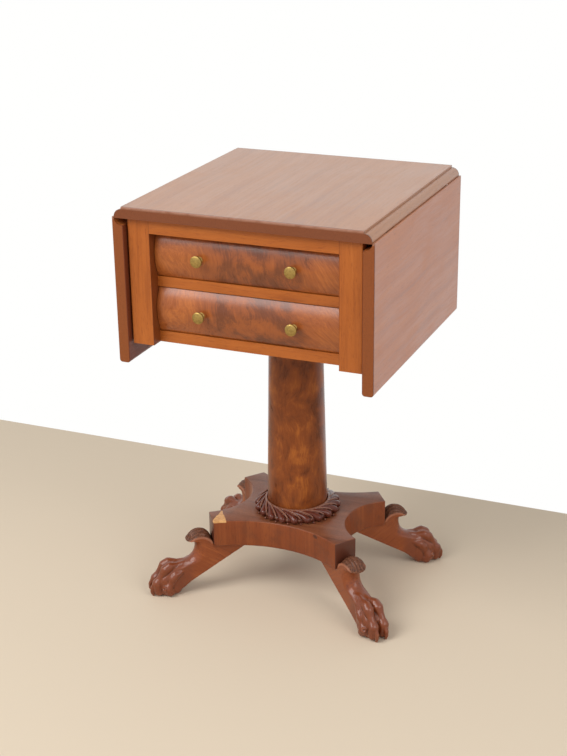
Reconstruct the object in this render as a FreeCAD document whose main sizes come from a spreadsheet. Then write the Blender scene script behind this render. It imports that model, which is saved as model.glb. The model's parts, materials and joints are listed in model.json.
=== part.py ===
import FreeCAD, Part
import math
import os

import Sketcher

# A drop-leaf side table: two drawers in a small case, on a tapered column, a platform and four paw feet.
# Millimetres. +Z is up, the floor is z = 0, the column stands on the origin and the drawers face -Y.

doc = FreeCAD.newDocument("drop_leaf_table")
dims = doc.addObject("Spreadsheet::Sheet", "dims")

SIZES = [
    ("height", 730, "floor to the upper face of the top"),
    ("top_width", 407, "upper face of the top board, from rule joint to rule joint"),
    ("top_depth", 446, "top board and leaves, front to back"),
    ("board_thick", 19, "top board and leaves"),
    ("leaf_width", 246, "hinge pin to the free edge of a leaf"),
    ("rule_step", 4, "square step above the round of the rule joint"),
    ("rule_gap", 0.8, "room between the round of the top and the hollow of the leaf"),
    ("lip_gap", 0.4, "room between the lip of a leaf and the step of the top"),
    ("board_ease", 1.5, "rounding of the arrises of the boards"),
    ("leaf_round", 5, "rounding of the free edge of a leaf"),
    ("hinge_inset", 80, "end of a leaf to the middle of a hinge"),
    ("hinge_width", 38, "hinge along its pin"),
    ("hinge_plate", 1.8, "thickness of the hinge plates"),
    ("top_flap", 28, "hinge pin to the end of the plate under the top"),
    ("leaf_flap", 48, "hinge pin to the end of the plate on the leaf"),
    ("barrel_dia", 6, "hinge knuckles"),
    ("hinge_pin_dia", 3, "hinge pin"),
    ("pin_rise", 2, "hinge pin above the underside of the boards"),
    ("pin_gap", 0.05, "radial running room of a hinge pin"),
    ("knuckle_gap", 0.3, "room between neighbouring knuckles"),
    ("mortise_gap", 0.3, "room round a let-in hinge"),
    ("screw_head_dia", 6, "countersunk screw head"),
    ("screw_head_high", 1.5, "countersunk screw head, face to shank"),
    ("screw_dia", 3, "screw shank"),
    ("hinge_screw", 12, "length of a hinge screw"),
    ("screw_gap", 0.05, "radial room of a screw in its hole"),
    ("top_overhang", 10, "top board past the posts, front and back"),
    ("leaf_clear", 3, "hanging leaf to the posts"),
    ("case_height", 211.5, "posts"),
    ("post_size", 38, "posts, both ways"),
    ("post_ease", 1.5, "rounding of the outer edges of the posts"),
    ("top_rail_high", 23.5, "top rail"),
    ("top_rail_thick", 22, "top rail, front to back"),
    ("divider_high", 17, "rail between the drawers"),
    ("bottom_rail_high", 18.5, "bottom rail"),
    ("rail_setback", 23, "divider and bottom rail behind the posts"),
    ("rail_deep", 55, "divider and bottom rail, front to back"),
    ("tenon_long", 12, "tenons of the rails"),
    ("tenon_shoulder", 4, "rail face to tenon"),
    ("joint_gap", 0.1, "glue room round a tenon or tongue"),
    ("side_thick", 20, "side panels"),
    ("back_thick", 14, "back panel"),
    ("back_setback", 4, "back panel behind the faces of the rear posts"),
    ("tongue_long", 8, "tongues of the panels"),
    ("tongue_thick", 8, "tongues of the panels"),
    ("floor_thick", 12, "case floor"),
    ("runner_ledge", 16, "part of a runner that carries a drawer side"),
    ("guide_high", 22, "drawer guide above its runner"),
    ("kicker_wide", 20, "kicker strips above the upper drawer"),
    ("kicker_gap", 1.5, "upper drawer opening to the kicker"),
    ("kicker_screw_bite", 11, "kicker screws into the top board"),
    ("kicker_screw_inset", 85, "kicker screws from the posts"),
    ("drawer_gap", 1, "drawer front to its opening, each side and below"),
    ("drawer_drop", 1.5, "drawer front to its opening, above"),
    ("ride_gap", 0.3, "drawer side to its runner"),
    ("drawer_inset", 2, "edge of a drawer front behind the rails"),
    ("front_thick", 18, "drawer front at its edges"),
    ("front_bulge", 11, "swell of a drawer front"),
    ("back_room", 22, "drawer back to the back panel"),
    ("stop_gap", 0.3, "drawer back to its stops"),
    ("stop_wide", 12, "drawer stops"),
    ("stop_high", 12, "drawer stops"),
    ("drawer_side_thick", 10, "drawer sides"),
    ("drawer_back_thick", 10, "drawer back"),
    ("drawer_bottom_thick", 6, "drawer bottom"),
    ("side_drop", 4, "top of a drawer side below the top of its front"),
    ("groove_rise", 6, "drawer bottom above the lower edge of the sides"),
    ("groove_deep", 5, "groove for the drawer bottom"),
    ("groove_gap", 0.1, "room round the drawer bottom in its groove"),
    ("tail_long", 12, "dovetails"),
    ("tail_root", 11, "dovetails where they leave the side"),
    ("tail_tip", 16, "dovetails at their ends"),
    ("knob_spacing", 160, "between the two knobs of a drawer"),
    ("knob_dia", 19.5, "knob head"),
    ("knob_reach", 16, "knob, drawer front to the face of the head"),
    ("knob_head_thick", 6, "knob head at its rim and dome"),
    ("knob_neck_dia", 8, "neck of a knob"),
    ("knob_base_dia", 13, "foot of a knob"),
    ("knob_base_thick", 2.5, "foot of a knob"),
    ("knob_post_dia", 5, "threaded post of a knob"),
    ("knob_nut_dia", 11, "nut on the post"),
    ("knob_nut_thick", 4, "nut on the post"),
    ("knob_post_end", 3, "post past its nut"),
    ("fly_long", 190, "notch for the fly bracket"),
    ("fly_high", 42, "notch for the fly bracket"),
    ("fly_gap", 0.5, "room round a fly bracket"),
    ("fly_pin_dia", 6, "pin of a fly bracket"),
    ("fly_pin_bite", 20, "pin below the fly bracket"),
    ("fly_grip", 14, "slanted free end of a fly bracket"),
    ("cleat_wide", 220, "cleat under the case, left to right"),
    ("cleat_deep", 150, "cleat under the case, front to back"),
    ("cleat_thick", 24, "cleat under the case"),
    ("cleat_ease", 6, "bevelled lower edge of the cleat"),
    ("cleat_screw_inset", 22, "cleat screws from its edges"),
    ("cleat_screw_bite", 9, "cleat screws into the case floor"),
    ("column_foot_dia", 107.5, "column on the platform"),
    ("column_head_dia", 93.3, "column under the cleat"),
    ("column_foot_ease", 3, "rounded lower edge of the column"),
    ("column_tenon_dia", 46, "tenons of the column"),
    ("collar_dia", 155, "carved collar over its lobes"),
    ("collar_high", 19, "carved collar"),
    ("collar_rim", 7, "height of the fullest part of the collar"),
    ("collar_crown", 20, "radius of the rounded upper face of the collar"),
    ("collar_gap", 0.3, "collar to column"),
    ("lobe_groove_dia", 9, "grooves between the lobes of the collar"),
    ("lobe_groove_lift", 3, "middle of a groove above the straight slope of the collar"),
    ("foot_height", 90, "floor to the underside of the platform"),
    ("platform_thick", 49, "platform"),
    ("platform_reach", 158.5, "axis to the cut-off corners of the platform"),
    ("platform_corner", 43, "width of a cut-off corner"),
    ("platform_waist_front", 77.5, "axis to the middle of the front hollow"),
    ("platform_waist_side", 97, "axis to the middle of a side hollow"),
    ("leg_thick", 34, "leg bracket"),
    ("leg_root", 85, "axis to the inner end of a leg"),
    ("leg_gap", 0.1, "leg to the end of the platform"),
    ("curl_rise", 2, "underside of the platform to where the curl leaves its end"),
    ("curl_crown", 10, "sides of the curl above the straight line from the platform to their lip"),
    ("lip_reach", 36.5, "end of the platform to the lip at the sides of the curl"),
    ("lip_rise", 16, "underside of the platform to the lip of the curl"),
    ("shell_reach", 22.8, "end of the platform to the middle of the shell rolled over the curl"),
    ("shell_rise", 7.6, "underside of the platform to the middle of the shell"),
    ("shell_radius", 20.6, "shell at the middle of the leg"),
    ("shell_edge_radius", 10, "shell at the sides of the leg"),
    ("shell_tip_rise", 10, "underside of the platform to the tip of the shell"),
    ("throat_reach", 52, "end of the platform to where the throat meets the paw"),
    ("throat_drop", 4.5, "knuckles to where the throat meets the paw"),
    ("throat_deep", 11, "hollow of the throat, between lip and paw"),
    ("foot_reach", 278, "axis to the tip of the middle toes"),
    ("heel_reach", 220, "axis to the heel"),
    ("heel_rise", 6, "heel above the floor"),
    ("paw_high", 68, "paw over its knuckles"),
    ("knuckle_back", 38, "tip of the middle toes to their knuckles"),
    ("sole_flat", 1, "flat under the tip of a toe"),
    ("toe_radius", 12, "middle toes"),
    ("outer_toe_radius", 10.5, "outer toes"),
    ("toe_taper", 1.5, "toes slimmer above the knuckle"),
    ("toe_spacing", 12.5, "between the two middle toes"),
    ("outer_toe_spacing", 32, "between the two outer toes"),
    ("outer_toe_back", 9, "outer toes behind the middle ones"),
    ("dowel_dia", 10, "dowels between leg and platform"),
    ("dowel_long", 20, "dowel into the platform"),
    ("dowel_first", 124, "axis to the inner dowel"),
    ("dowel_second", 146, "axis to the outer dowel"),
    ("dowel_bite", 16, "dowel into the leg"),
    ("dowel_gap", 0.1, "radial glue room of a dowel"),
]

# Angles and counts
LEG_ANGLE = 36.5
LOBE_COUNT = 20
LOBE_SLANT = 45
TAIL_COUNT = 3

# Screws of a hinge plate: shares of the plate's reach from the pin and of the hinge's width off its middle
TOP_PLATE_SCREWS = [(0.45, -0.25), (0.75, 0.25)]
LEAF_PLATE_SCREWS = [(0.45, -0.25), (0.65, 0.25), (0.85, -0.25)]

# Lengths that differ by less than this are the same
SAME = 0.001

# The numbers that a sketch gives to the two ends of a line or arc
END_NUMBERS = {"first": 1, "last": 2}

for row, (alias, size, meaning) in enumerate(SIZES, start=1):
    dims.set(f"A{row}", meaning)
    dims.set(f"B{row}", str(size))
    dims.setAlias(f"B{row}", alias)
doc.recompute()

# Levels and planes that several pieces share, as expressions on the sheet
BOARD_UNDER = "(dims.height - dims.board_thick)"
PIN_X = "(dims.top_width / 2)"
PIN_Z = f"({BOARD_UNDER} + dims.pin_rise)"
RULE_RADIUS = "(dims.board_thick - dims.pin_rise - dims.rule_step)"
HOLLOW_RADIUS = f"({RULE_RADIUS} + dims.rule_gap)"
BOARD_Y = "(dims.top_depth / 2)"
LEAF_OUTER_X = f"({PIN_X} + {RULE_RADIUS} + dims.rule_step)"
LEAF_INNER_X = f"({PIN_X} - dims.pin_rise)"
LEAF_LOW = f"({PIN_Z} - dims.leaf_width)"
CASE_X = f"({LEAF_INNER_X} - dims.leaf_clear)"
CASE_Y = f"({BOARD_Y} - dims.top_overhang)"
CASE_LOW = f"({BOARD_UNDER} - dims.case_height)"
OPENING_X = f"({CASE_X} - dims.post_size)"
POST_Y = f"({CASE_Y} - dims.post_size)"
SIDE_X = f"({CASE_X} - dims.side_thick)"
RAIL_Y = f"({CASE_Y} - dims.rail_setback)"
RAIL_BACK_Y = f"({RAIL_Y} - dims.rail_deep)"
BACK_Y = f"({CASE_Y} - dims.back_setback - dims.back_thick)"
RAILS_HIGH = "(dims.top_rail_high + dims.divider_high + dims.bottom_rail_high)"
OPENING_HIGH = f"((dims.case_height - {RAILS_HIGH}) / 2)"
LOWER_SILL = f"({CASE_LOW} + dims.bottom_rail_high)"
DIVIDER_LOW = f"({LOWER_SILL} + {OPENING_HIGH})"
UPPER_SILL = f"({DIVIDER_LOW} + dims.divider_high)"
TOP_RAIL_LOW = f"({BOARD_UNDER} - dims.top_rail_high)"
FLOOR_TOP = f"({CASE_LOW} + dims.floor_thick)"
CLEAT_LOW = f"({CASE_LOW} - dims.cleat_thick)"
PLATFORM_TOP = "(dims.foot_height + dims.platform_thick)"

X_AXIS = FreeCAD.Vector(1, 0, 0)
Y_AXIS = FreeCAD.Vector(0, 1, 0)
Z_AXIS = FreeCAD.Vector(0, 0, 1)

sub_parts = []


def size_of(text):
    """The number that an expression on the sheet stands for."""
    return float(dims.evalExpression(text))


def keep(piece, label):
    """Name a finished sub-part and add it to the list that is written."""
    piece.Label = label
    sub_parts.append(piece)
    return piece


def place(piece, x, y, z, turn=None):
    """Bind a piece's position, with an optional fixed turn."""
    piece.Placement = FreeCAD.Placement(FreeCAD.Vector(), turn or FreeCAD.Rotation())
    for axis, text in zip("xyz", (x, y, z)):
        piece.setExpression("Placement.Base." + axis, text)
    return piece


def both(reach):
    """The span from minus to plus a reach."""
    return f"-{reach}", f"{reach}"


def mirrored(sign, near, far):
    """The span from near to far, on the right for sign 1 and on the left for sign -1."""
    if sign > 0:
        return near, far
    return f"-({far})", f"-({near})"


def widened(span, room):
    """A span with room added at both ends."""
    low, high = span
    return f"{low} - {room}", f"{high} + {room}"


def block(name, x, y, z):
    """A box between pairs of planes."""
    piece = doc.addObject("Part::Box", name)
    for size, (low, high) in zip(("Length", "Width", "Height"), (x, y, z)):
        piece.setExpression(size, f"({high}) - ({low})")
    return place(piece, x[0], y[0], z[0])


def rod(name, radius, length, x, y, z, turn=None):
    """A cylinder from a point along +Z, or along +Z turned."""
    piece = doc.addObject("Part::Cylinder", name)
    piece.setExpression("Radius", radius)
    piece.setExpression("Height", length)
    return place(piece, x, y, z, turn)


def joined(name, pieces):
    """One solid from pieces that overlap or touch."""
    piece = doc.addObject("Part::MultiFuse", name)
    piece.Shapes = pieces
    return piece


def group(name, pieces):
    """Separate solids that share one sub-part."""
    piece = doc.addObject("Part::Compound", name)
    piece.Links = pieces
    return piece


def cut(name, base, tools):
    """A piece with the tools' room taken out of it."""
    piece = doc.addObject("Part::Cut", name)
    piece.Base = base
    piece.Tool = tools[0] if len(tools) == 1 else joined(name + "_room", tools)
    return piece


def outline(body, role, corners, name):
    """A closed sketch. A corner is (x, y), or (x, y, radius, side) where the edge that leaves it is an
    arc with its centre on the left (1) or right (-1) of the way to the next corner."""
    sketch = body.newObject("Sketcher::SketchObject", name)
    plane = next(item for item in body.Origin.OriginFeatures if item.Role == role)
    sketch.AttachmentSupport = [(plane, "")]
    sketch.MapMode = "FlatFace"
    points = [FreeCAD.Vector(size_of(corner[0]), size_of(corner[1]), 0) for corner in corners]
    first = END_NUMBERS["first"]
    last = END_NUMBERS["last"]
    ends = []
    radii = []
    for index, corner in enumerate(corners):
        start = points[index]
        end = points[(index + 1) % len(points)]
        if len(corner) == 2:
            sketch.addGeometry(Part.LineSegment(start, end))
            ends.append((first, last))
            continue
        radius = size_of(corner[2])
        side = corner[3]
        chord = end - start
        left = FreeCAD.Vector(-chord.y, chord.x, 0).normalize()
        reach = math.sqrt(max(radius ** 2 - (chord.Length / 2) ** 2, 0))
        centre = (start + end) / 2 + left * (side * reach)
        opening, closing = (start, end) if side > 0 else (end, start)
        from_angle = math.atan2(opening.y - centre.y, opening.x - centre.x)
        to_angle = math.atan2(closing.y - centre.y, closing.x - centre.x)
        if to_angle < from_angle:
            to_angle += 2 * math.pi
        circle = Part.Circle(centre, Z_AXIS, radius)
        sketch.addGeometry(Part.ArcOfCircle(circle, from_angle, to_angle))
        ends.append((first, last) if side > 0 else (last, first))
        radii.append((index, radius, corner[2]))
    for index, (leaves, arrives) in enumerate(ends):
        after = (index + 1) % len(corners)
        sketch.addConstraint(Sketcher.Constraint("Coincident", index, arrives, after, ends[after][0]))
        distances = (
            ("DistanceX", points[index].x, corners[index][0]),
            ("DistanceY", points[index].y, corners[index][1]),
        )
        for kind, distance, text in distances:
            number = sketch.addConstraint(Sketcher.Constraint(kind, -1, 1, index, leaves, distance))
            sketch.setExpression(f"Constraints[{number}]", text)
    for index, radius, text in radii:
        number = sketch.addConstraint(Sketcher.Constraint("Radius", index, radius))
        sketch.setExpression(f"Constraints[{number}]", text)
    return sketch


def padded(name, role, corners, length, symmetric=True):
    """A body with one outline pushed out to a length, evenly to both sides unless told otherwise."""
    body = doc.addObject("PartDesign::Body", name)
    pad = body.newObject("PartDesign::Pad", name + "_pad")
    pad.Profile = outline(body, role, corners, name + "_outline")
    pad.SideType = "Symmetric" if symmetric else "One side"
    pad.setExpression("Length", length)
    body.Tip = pad
    return body


def turned(name, corners):
    """A body turned about Z from half its section, given as (radius, height) corners."""
    body = doc.addObject("PartDesign::Body", name)
    turning = body.newObject("PartDesign::Revolution", name + "_turning")
    profile = outline(body, "XZ_Plane", corners, name + "_section")
    turning.Profile = profile
    turning.ReferenceAxis = (profile, ["V_Axis"])
    turning.Angle = 360
    body.Tip = turning
    return body


def eased(body, radius, wanted):
    """Round the edges of a body's tip that wanted(edge's box) picks out."""
    doc.recompute()
    base = body.Tip
    names = []
    for number, edge in enumerate(base.Shape.Edges, start=1):
        if wanted(edge.BoundBox):
            names.append(f"Edge{number}")
    fillet = body.newObject("PartDesign::Fillet", body.Name + "_ease")
    fillet.Base = (base, names)
    fillet.setExpression("Radius", radius)
    body.Tip = fillet
    return body


def close_to(first, second):
    """True where two lengths agree."""
    return abs(first - second) < SAME


def bow_radius(start, end, rise):
    """The radius of an arc between two (x, y) points that rises by that much above their chord."""
    half_chord = f"(((({end[0]}) - ({start[0]})) ^ 2 + (({end[1]}) - ({start[1]})) ^ 2) / 4)"
    return f"(({half_chord} + ({rise}) ^ 2) / (2 * ({rise})))"


def screw(name, length, x, y, z, turn=None, room="0"):
    """A countersunk screw whose head's face is at the point and which drives along +Z, or +Z turned."""
    head = doc.addObject("Part::Cone", name + "_head")
    head.setExpression("Radius1", f"dims.screw_head_dia / 2 + {room}")
    head.setExpression("Radius2", f"dims.screw_dia / 2 + {room}")
    head.setExpression("Height", "dims.screw_head_high")
    place(head, x, y, z, turn)
    shank = rod(name + "_shank", f"dims.screw_dia / 2 + {room}", f"{length} + {room}", x, y, z, turn)
    return joined(name, [head, shank])


# Platform: a thick board with four hollow sides and cut-off corners, bored for the column and the legs
half_corner_x = f"(dims.platform_corner / 2 * sin({LEG_ANGLE} deg))"
half_corner_y = f"(dims.platform_corner / 2 * cos({LEG_ANGLE} deg))"
corner_x = f"(dims.platform_reach * cos({LEG_ANGLE} deg))"
corner_y = f"(dims.platform_reach * sin({LEG_ANGLE} deg))"
wide_x = f"({corner_x} + {half_corner_x})"
narrow_x = f"({corner_x} - {half_corner_x})"
wide_y = f"({corner_y} + {half_corner_y})"
narrow_y = f"({corner_y} - {half_corner_y})"
front_radius = bow_radius((f"-{narrow_x}", "0"), (narrow_x, "0"), f"{wide_y} - dims.platform_waist_front")
side_radius = bow_radius((f"-{narrow_y}", "0"), (narrow_y, "0"), f"{wide_x} - dims.platform_waist_side")
platform_blank = padded("platform_blank", "XY_Plane", [
    (f"-{narrow_x}", f"-{wide_y}", front_radius, -1),
    (narrow_x, f"-{wide_y}"),
    (wide_x, f"-{narrow_y}", side_radius, -1),
    (wide_x, narrow_y),
    (narrow_x, wide_y, front_radius, -1),
    (f"-{narrow_x}", wide_y),
    (f"-{wide_x}", narrow_y, side_radius, -1),
    (f"-{wide_x}", f"-{narrow_y}"),
], "dims.platform_thick", symmetric=False)
platform_blank.setExpression("Placement.Base.z", "dims.foot_height")

leg_turns = {
    "front_right": 360 - LEG_ANGLE,
    "rear_right": LEG_ANGLE,
    "rear_left": 180 - LEG_ANGLE,
    "front_left": 180 + LEG_ANGLE,
}


def dowels(name, room):
    """Two dowels for each leg, standing across the joint between leg and platform."""
    pieces = []
    for corner, angle in leg_turns.items():
        for which in ("dowel_first", "dowel_second"):
            pieces.append(rod(
                f"{name}_{corner}_{which}",
                f"dims.dowel_dia / 2 + {room}",
                f"dims.dowel_long + dims.dowel_bite + 2 * {room}",
                f"dims.{which} * cos({angle} deg)",
                f"dims.{which} * sin({angle} deg)",
                f"dims.foot_height - dims.dowel_bite - {room}"))
    return pieces


column_bore = rod("column_bore", "dims.column_tenon_dia / 2 + dims.joint_gap", "dims.platform_thick",
                  "0", "0", "dims.foot_height")
keep(cut("platform", platform_blank, [column_bore] + dowels("platform_dowel_hole", "dims.dowel_gap")),
     "platform")
keep(group("leg_dowels", dowels("leg_dowel", "0")), "leg_dowels")

# Legs: a bracket sawn from a board, curling over like a wave at the top and carved into a paw below.
# One is made pointing along +X and set at each corner of the platform.
leg_face = "(dims.platform_reach + dims.leg_gap)"
knuckle_x = "(dims.foot_reach - dims.knuckle_back)"
knuckle_z = "(dims.paw_high - dims.toe_radius)"
tip_x = "(dims.foot_reach - dims.toe_radius)"
tip_z = "(dims.toe_radius - dims.sole_flat)"
throat = ("dims.platform_reach + dims.throat_reach", "dims.paw_high - dims.throat_drop")
lip = ("dims.platform_reach + dims.lip_reach", "dims.foot_height + dims.lip_rise")
curl_start = (leg_face, "dims.foot_height + dims.curl_rise")
bracket = padded("leg_bracket", "XZ_Plane", [
    ("dims.leg_root", "dims.foot_height"),
    ("dims.heel_reach - dims.heel_rise", "dims.heel_rise"),
    ("dims.heel_reach", "0"),
    (tip_x, "0"),
    (tip_x, tip_z),
    (knuckle_x, knuckle_z),
    (*throat, bow_radius(throat, lip, "dims.throat_deep"), -1),
    (*lip, bow_radius(lip, curl_start, "dims.curl_crown"), 1),
    curl_start,
    (leg_face, "dims.foot_height"),
], "dims.leg_thick")

# The shell is rounded across the leg, highest at its middle, and stops at the platform and above the throat
shell_side = "dims.leg_thick / 2"
shell_edges = [("dims.shell_edge_radius", f"-{shell_side}"), ("dims.shell_edge_radius", shell_side)]
shell = turned("leg_shell", [
    ("0", f"-{shell_side}"),
    (*shell_edges[0], bow_radius(*shell_edges, "dims.shell_radius - dims.shell_edge_radius"), 1),
    shell_edges[1],
    ("0", shell_side),
])
place(shell, "dims.platform_reach + dims.shell_reach", "0", "dims.foot_height + dims.shell_rise",
      FreeCAD.Rotation(Z_AXIS, Y_AXIS))
below_shell = block("below_shell", ("0", "dims.foot_reach"), both("dims.foot_reach"),
                    ("-dims.foot_reach", "dims.foot_height + dims.shell_tip_rise"))
behind_shell = block("behind_shell", ("0", leg_face), both("dims.foot_reach"), ("0", "dims.foot_reach"))
curl = cut("leg_curl", shell, [below_shell, behind_shell])


def toe_bone(name, radius, start_x, start_z, end_x, end_z, start_y, end_y):
    """A round-ended rod from one joint of a toe to the next."""
    reach = f"sqrt(({end_x} - {start_x}) ^ 2 + ({end_y} - {start_y}) ^ 2 + ({end_z} - {start_z}) ^ 2)"
    bone = turned(name, [
        ("0", f"-{radius}", radius, 1),
        (radius, "0"),
        (radius, reach, radius, 1),
        ("0", f"{reach} + {radius}"),
    ])
    along = FreeCAD.Vector(
        size_of(f"{end_x} - {start_x}"), size_of(f"{end_y} - {start_y}"), size_of(f"{end_z} - {start_z}"))
    return place(bone, start_x, start_y, start_z, FreeCAD.Rotation(Z_AXIS, along))


toes = []
for toe, (side, radius, spacing, back) in enumerate([
        (-1, "dims.outer_toe_radius", "dims.outer_toe_spacing", "dims.outer_toe_back"),
        (-1, "dims.toe_radius", "dims.toe_spacing", "0"),
        (1, "dims.toe_radius", "dims.toe_spacing", "0"),
        (1, "dims.outer_toe_radius", "dims.outer_toe_spacing", "dims.outer_toe_back")]):
    across = f"({side} * {spacing} / 2)"
    toes.append(toe_bone(
        f"toe_{toe}_upper", f"({radius} - dims.toe_taper)",
        "dims.heel_reach", "dims.paw_high / 2",
        f"({knuckle_x} - {back})", f"(dims.paw_high - {back} / 2 - {radius})",
        f"({across} / 2)", across))
    toes.append(toe_bone(
        f"toe_{toe}_lower", radius,
        f"({knuckle_x} - {back})", f"(dims.paw_high - {back} / 2 - {radius})",
        f"(dims.foot_reach - {back} - {radius})", f"({radius} - dims.sole_flat)",
        across, across))
below_floor = block("below_floor", ("0", "2 * dims.foot_reach"), both("dims.foot_reach"),
                    ("-dims.foot_reach", "0"))
leg_whole = cut("leg_whole", joined("leg_forms", [bracket, curl] + toes), [below_floor])
for corner, angle in leg_turns.items():
    leg = group(f"{corner}_leg_turned", [leg_whole])
    leg.Placement = FreeCAD.Placement(FreeCAD.Vector(), FreeCAD.Rotation(Z_AXIS, angle))
    keep(cut(f"{corner}_leg", leg, dowels(f"{corner}_leg_dowel_hole", "dims.dowel_gap")), f"{corner}_leg")

# Column: turned with a long taper, a tenon through the platform and another through the cleat
foot_radius = "(dims.column_foot_dia / 2)"
tenon_radius = "(dims.column_tenon_dia / 2)"
keep(turned("column", [
    ("0", "dims.foot_height"),
    (tenon_radius, "dims.foot_height"),
    (tenon_radius, PLATFORM_TOP),
    (f"{foot_radius} - dims.column_foot_ease", PLATFORM_TOP, "dims.column_foot_ease", 1),
    (foot_radius, f"{PLATFORM_TOP} + dims.column_foot_ease"),
    ("dims.column_head_dia / 2", CLEAT_LOW),
    (tenon_radius, CLEAT_LOW),
    (tenon_radius, CASE_LOW),
    ("0", CASE_LOW),
]), "column")

# Carved collar: a ring round the foot of the column, with slanting grooves between its lobes
collar_bore = f"({foot_radius} + dims.collar_gap)"
collar_radius = "(dims.collar_dia / 2)"
rim_z = f"({PLATFORM_TOP} + dims.collar_rim)"
collar_top = f"({PLATFORM_TOP} + dims.collar_high)"
collar = turned("column_collar", [
    (collar_bore, PLATFORM_TOP),
    (f"{collar_radius} - dims.collar_rim", PLATFORM_TOP, "dims.collar_rim", 1),
    (collar_radius, rim_z, "dims.collar_crown", 1),
    (collar_bore, collar_top),
])
groove_run = f"({collar_radius} - {collar_bore})"
groove_swing = f"({groove_run} * tan({LOBE_SLANT} deg))"
groove_fall = "(dims.collar_high - dims.collar_rim)"
groove = collar.newObject("PartDesign::SubtractiveCylinder", "lobe_groove")
groove.setExpression("Radius", "dims.lobe_groove_dia / 2")
groove.setExpression("Height", f"sqrt({groove_run} ^ 2 + {groove_swing} ^ 2 + {groove_fall} ^ 2)")
down_slope = FreeCAD.Vector(size_of(groove_run), size_of(groove_swing), -size_of(groove_fall))
place(groove, collar_bore, "0", f"{collar_top} + dims.lobe_groove_lift", FreeCAD.Rotation(Z_AXIS, down_slope))
lobes = collar.newObject("PartDesign::PolarPattern", "lobes")
lobes.Originals = [groove]
lobes.Axis = (next(item for item in collar.Origin.OriginFeatures if item.Role == "Z_Axis"), [""])
lobes.Angle = 360
lobes.Occurrences = LOBE_COUNT
collar.Tip = lobes
keep(collar, "column_collar")

# Case: four posts, tenoned rails in front, tongued panels at the sides and back
rail_spans = {
    "top_rail": (("-" + CASE_Y, f"-{CASE_Y} + dims.top_rail_thick"), (TOP_RAIL_LOW, BOARD_UNDER)),
    "drawer_divider": (("-" + RAIL_Y, "-" + RAIL_BACK_Y), (DIVIDER_LOW, UPPER_SILL)),
    "bottom_rail": (("-" + RAIL_Y, "-" + RAIL_BACK_Y), (CASE_LOW, LOWER_SILL)),
}


def rail_tenon(name, rail, room):
    """The tenons of a rail, as one bar that runs through it into both posts."""
    (front, back), (low, high) = rail_spans[rail]
    deep_end = f"-{POST_Y} - dims.tenon_shoulder"
    if rail == "top_rail":
        deep_end = f"{back} - dims.tenon_shoulder"
    return block(
        name,
        widened(both(f"({OPENING_X} + dims.tenon_long)"), room),
        widened((f"{front} + dims.tenon_shoulder", deep_end), room),
        widened((f"{low} + dims.tenon_shoulder", f"{high} - dims.tenon_shoulder"), room))


def side_tongue(name, sign, room):
    """The tongues of a side panel, as one board that runs through it into both posts."""
    middle = f"({CASE_X} - dims.side_thick / 2)"
    near = f"{middle} - dims.tongue_thick / 2 - {room}"
    far = f"{middle} + dims.tongue_thick / 2 + {room}"
    return block(
        name,
        mirrored(sign, near, far),
        widened(both(f"({POST_Y} + dims.tongue_long)"), room),
        widened((f"{CASE_LOW} + dims.tenon_shoulder", f"{TOP_RAIL_LOW} - dims.fly_high"), room))


def back_tongue(name, room):
    """The tongues of the back panel, as one board that runs through it into both rear posts."""
    middle = f"({BACK_Y} + dims.back_thick / 2)"
    return block(
        name,
        widened(both(f"({OPENING_X} + dims.tongue_long)"), room),
        widened((f"{middle} - dims.tongue_thick / 2", f"{middle} + dims.tongue_thick / 2"), room),
        widened((f"{CASE_LOW} + dims.tenon_shoulder", f"{BOARD_UNDER} - dims.tenon_shoulder"), room))


for end, end_sign in (("front", -1), ("rear", 1)):
    for side, side_sign in (("left", -1), ("right", 1)):
        name = f"{end}_{side}_post"
        near_x, far_x = mirrored(side_sign, OPENING_X, CASE_X)
        near_y, far_y = mirrored(end_sign, POST_Y, CASE_Y)
        post = padded(name + "_blank", "XY_Plane", [
            (near_x, near_y), (far_x, near_y), (far_x, far_y), (near_x, far_y),
        ], "dims.case_height", symmetric=False)
        post.setExpression("Placement.Base.z", CASE_LOW)
        outer_x = side_sign * size_of(CASE_X)
        outer_y = end_sign * size_of(CASE_Y)
        eased(post, "dims.post_ease", lambda box: (
            not close_to(box.ZLength, 0) and close_to(box.XMin, outer_x) and close_to(box.YMin, outer_y)))
        mortises = [side_tongue(name + "_side_groove", side_sign, "dims.joint_gap")]
        if end == "front":
            for rail in rail_spans:
                mortises.append(rail_tenon(f"{name}_{rail}_mortise", rail, "dims.joint_gap"))
        else:
            mortises.append(back_tongue(name + "_back_groove", "dims.joint_gap"))
        keep(cut(name, post, mortises), name)

for rail, (deep, high) in rail_spans.items():
    bar = block(rail + "_bar", both(OPENING_X), deep, high)
    keep(joined(rail, [bar, rail_tenon(rail + "_tenon", rail, "0")]), rail)

back_board = block("back_board", both(OPENING_X), (BACK_Y, f"{BACK_Y} + dims.back_thick"),
                   (CASE_LOW, BOARD_UNDER))
keep(joined("back_panel", [back_board, back_tongue("back_panel_tongue", "0")]), "back_panel")

# Side panels and fly brackets: each panel is notched at the top for a bracket that holds a raised leaf.
# The bracket turns on an upright pin.
fly_low = f"({BOARD_UNDER} - dims.fly_high)"
fly_thick = "(dims.side_thick - 2 * dims.fly_gap)"
fly_middle = f"({CASE_X} - dims.side_thick / 2)"
fly_end = "(dims.fly_long / 2 - dims.fly_gap)"
fly_pin_y = f"({fly_end} - {fly_thick} / 2)"


def fly_pin(name, sign, room):
    """The upright pin of a fly bracket."""
    return rod(name, f"dims.fly_pin_dia / 2 + {room}", "dims.fly_high + dims.fly_pin_bite",
               f"{sign} * {fly_middle}", fly_pin_y, f"{fly_low} - dims.fly_pin_bite")


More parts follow.
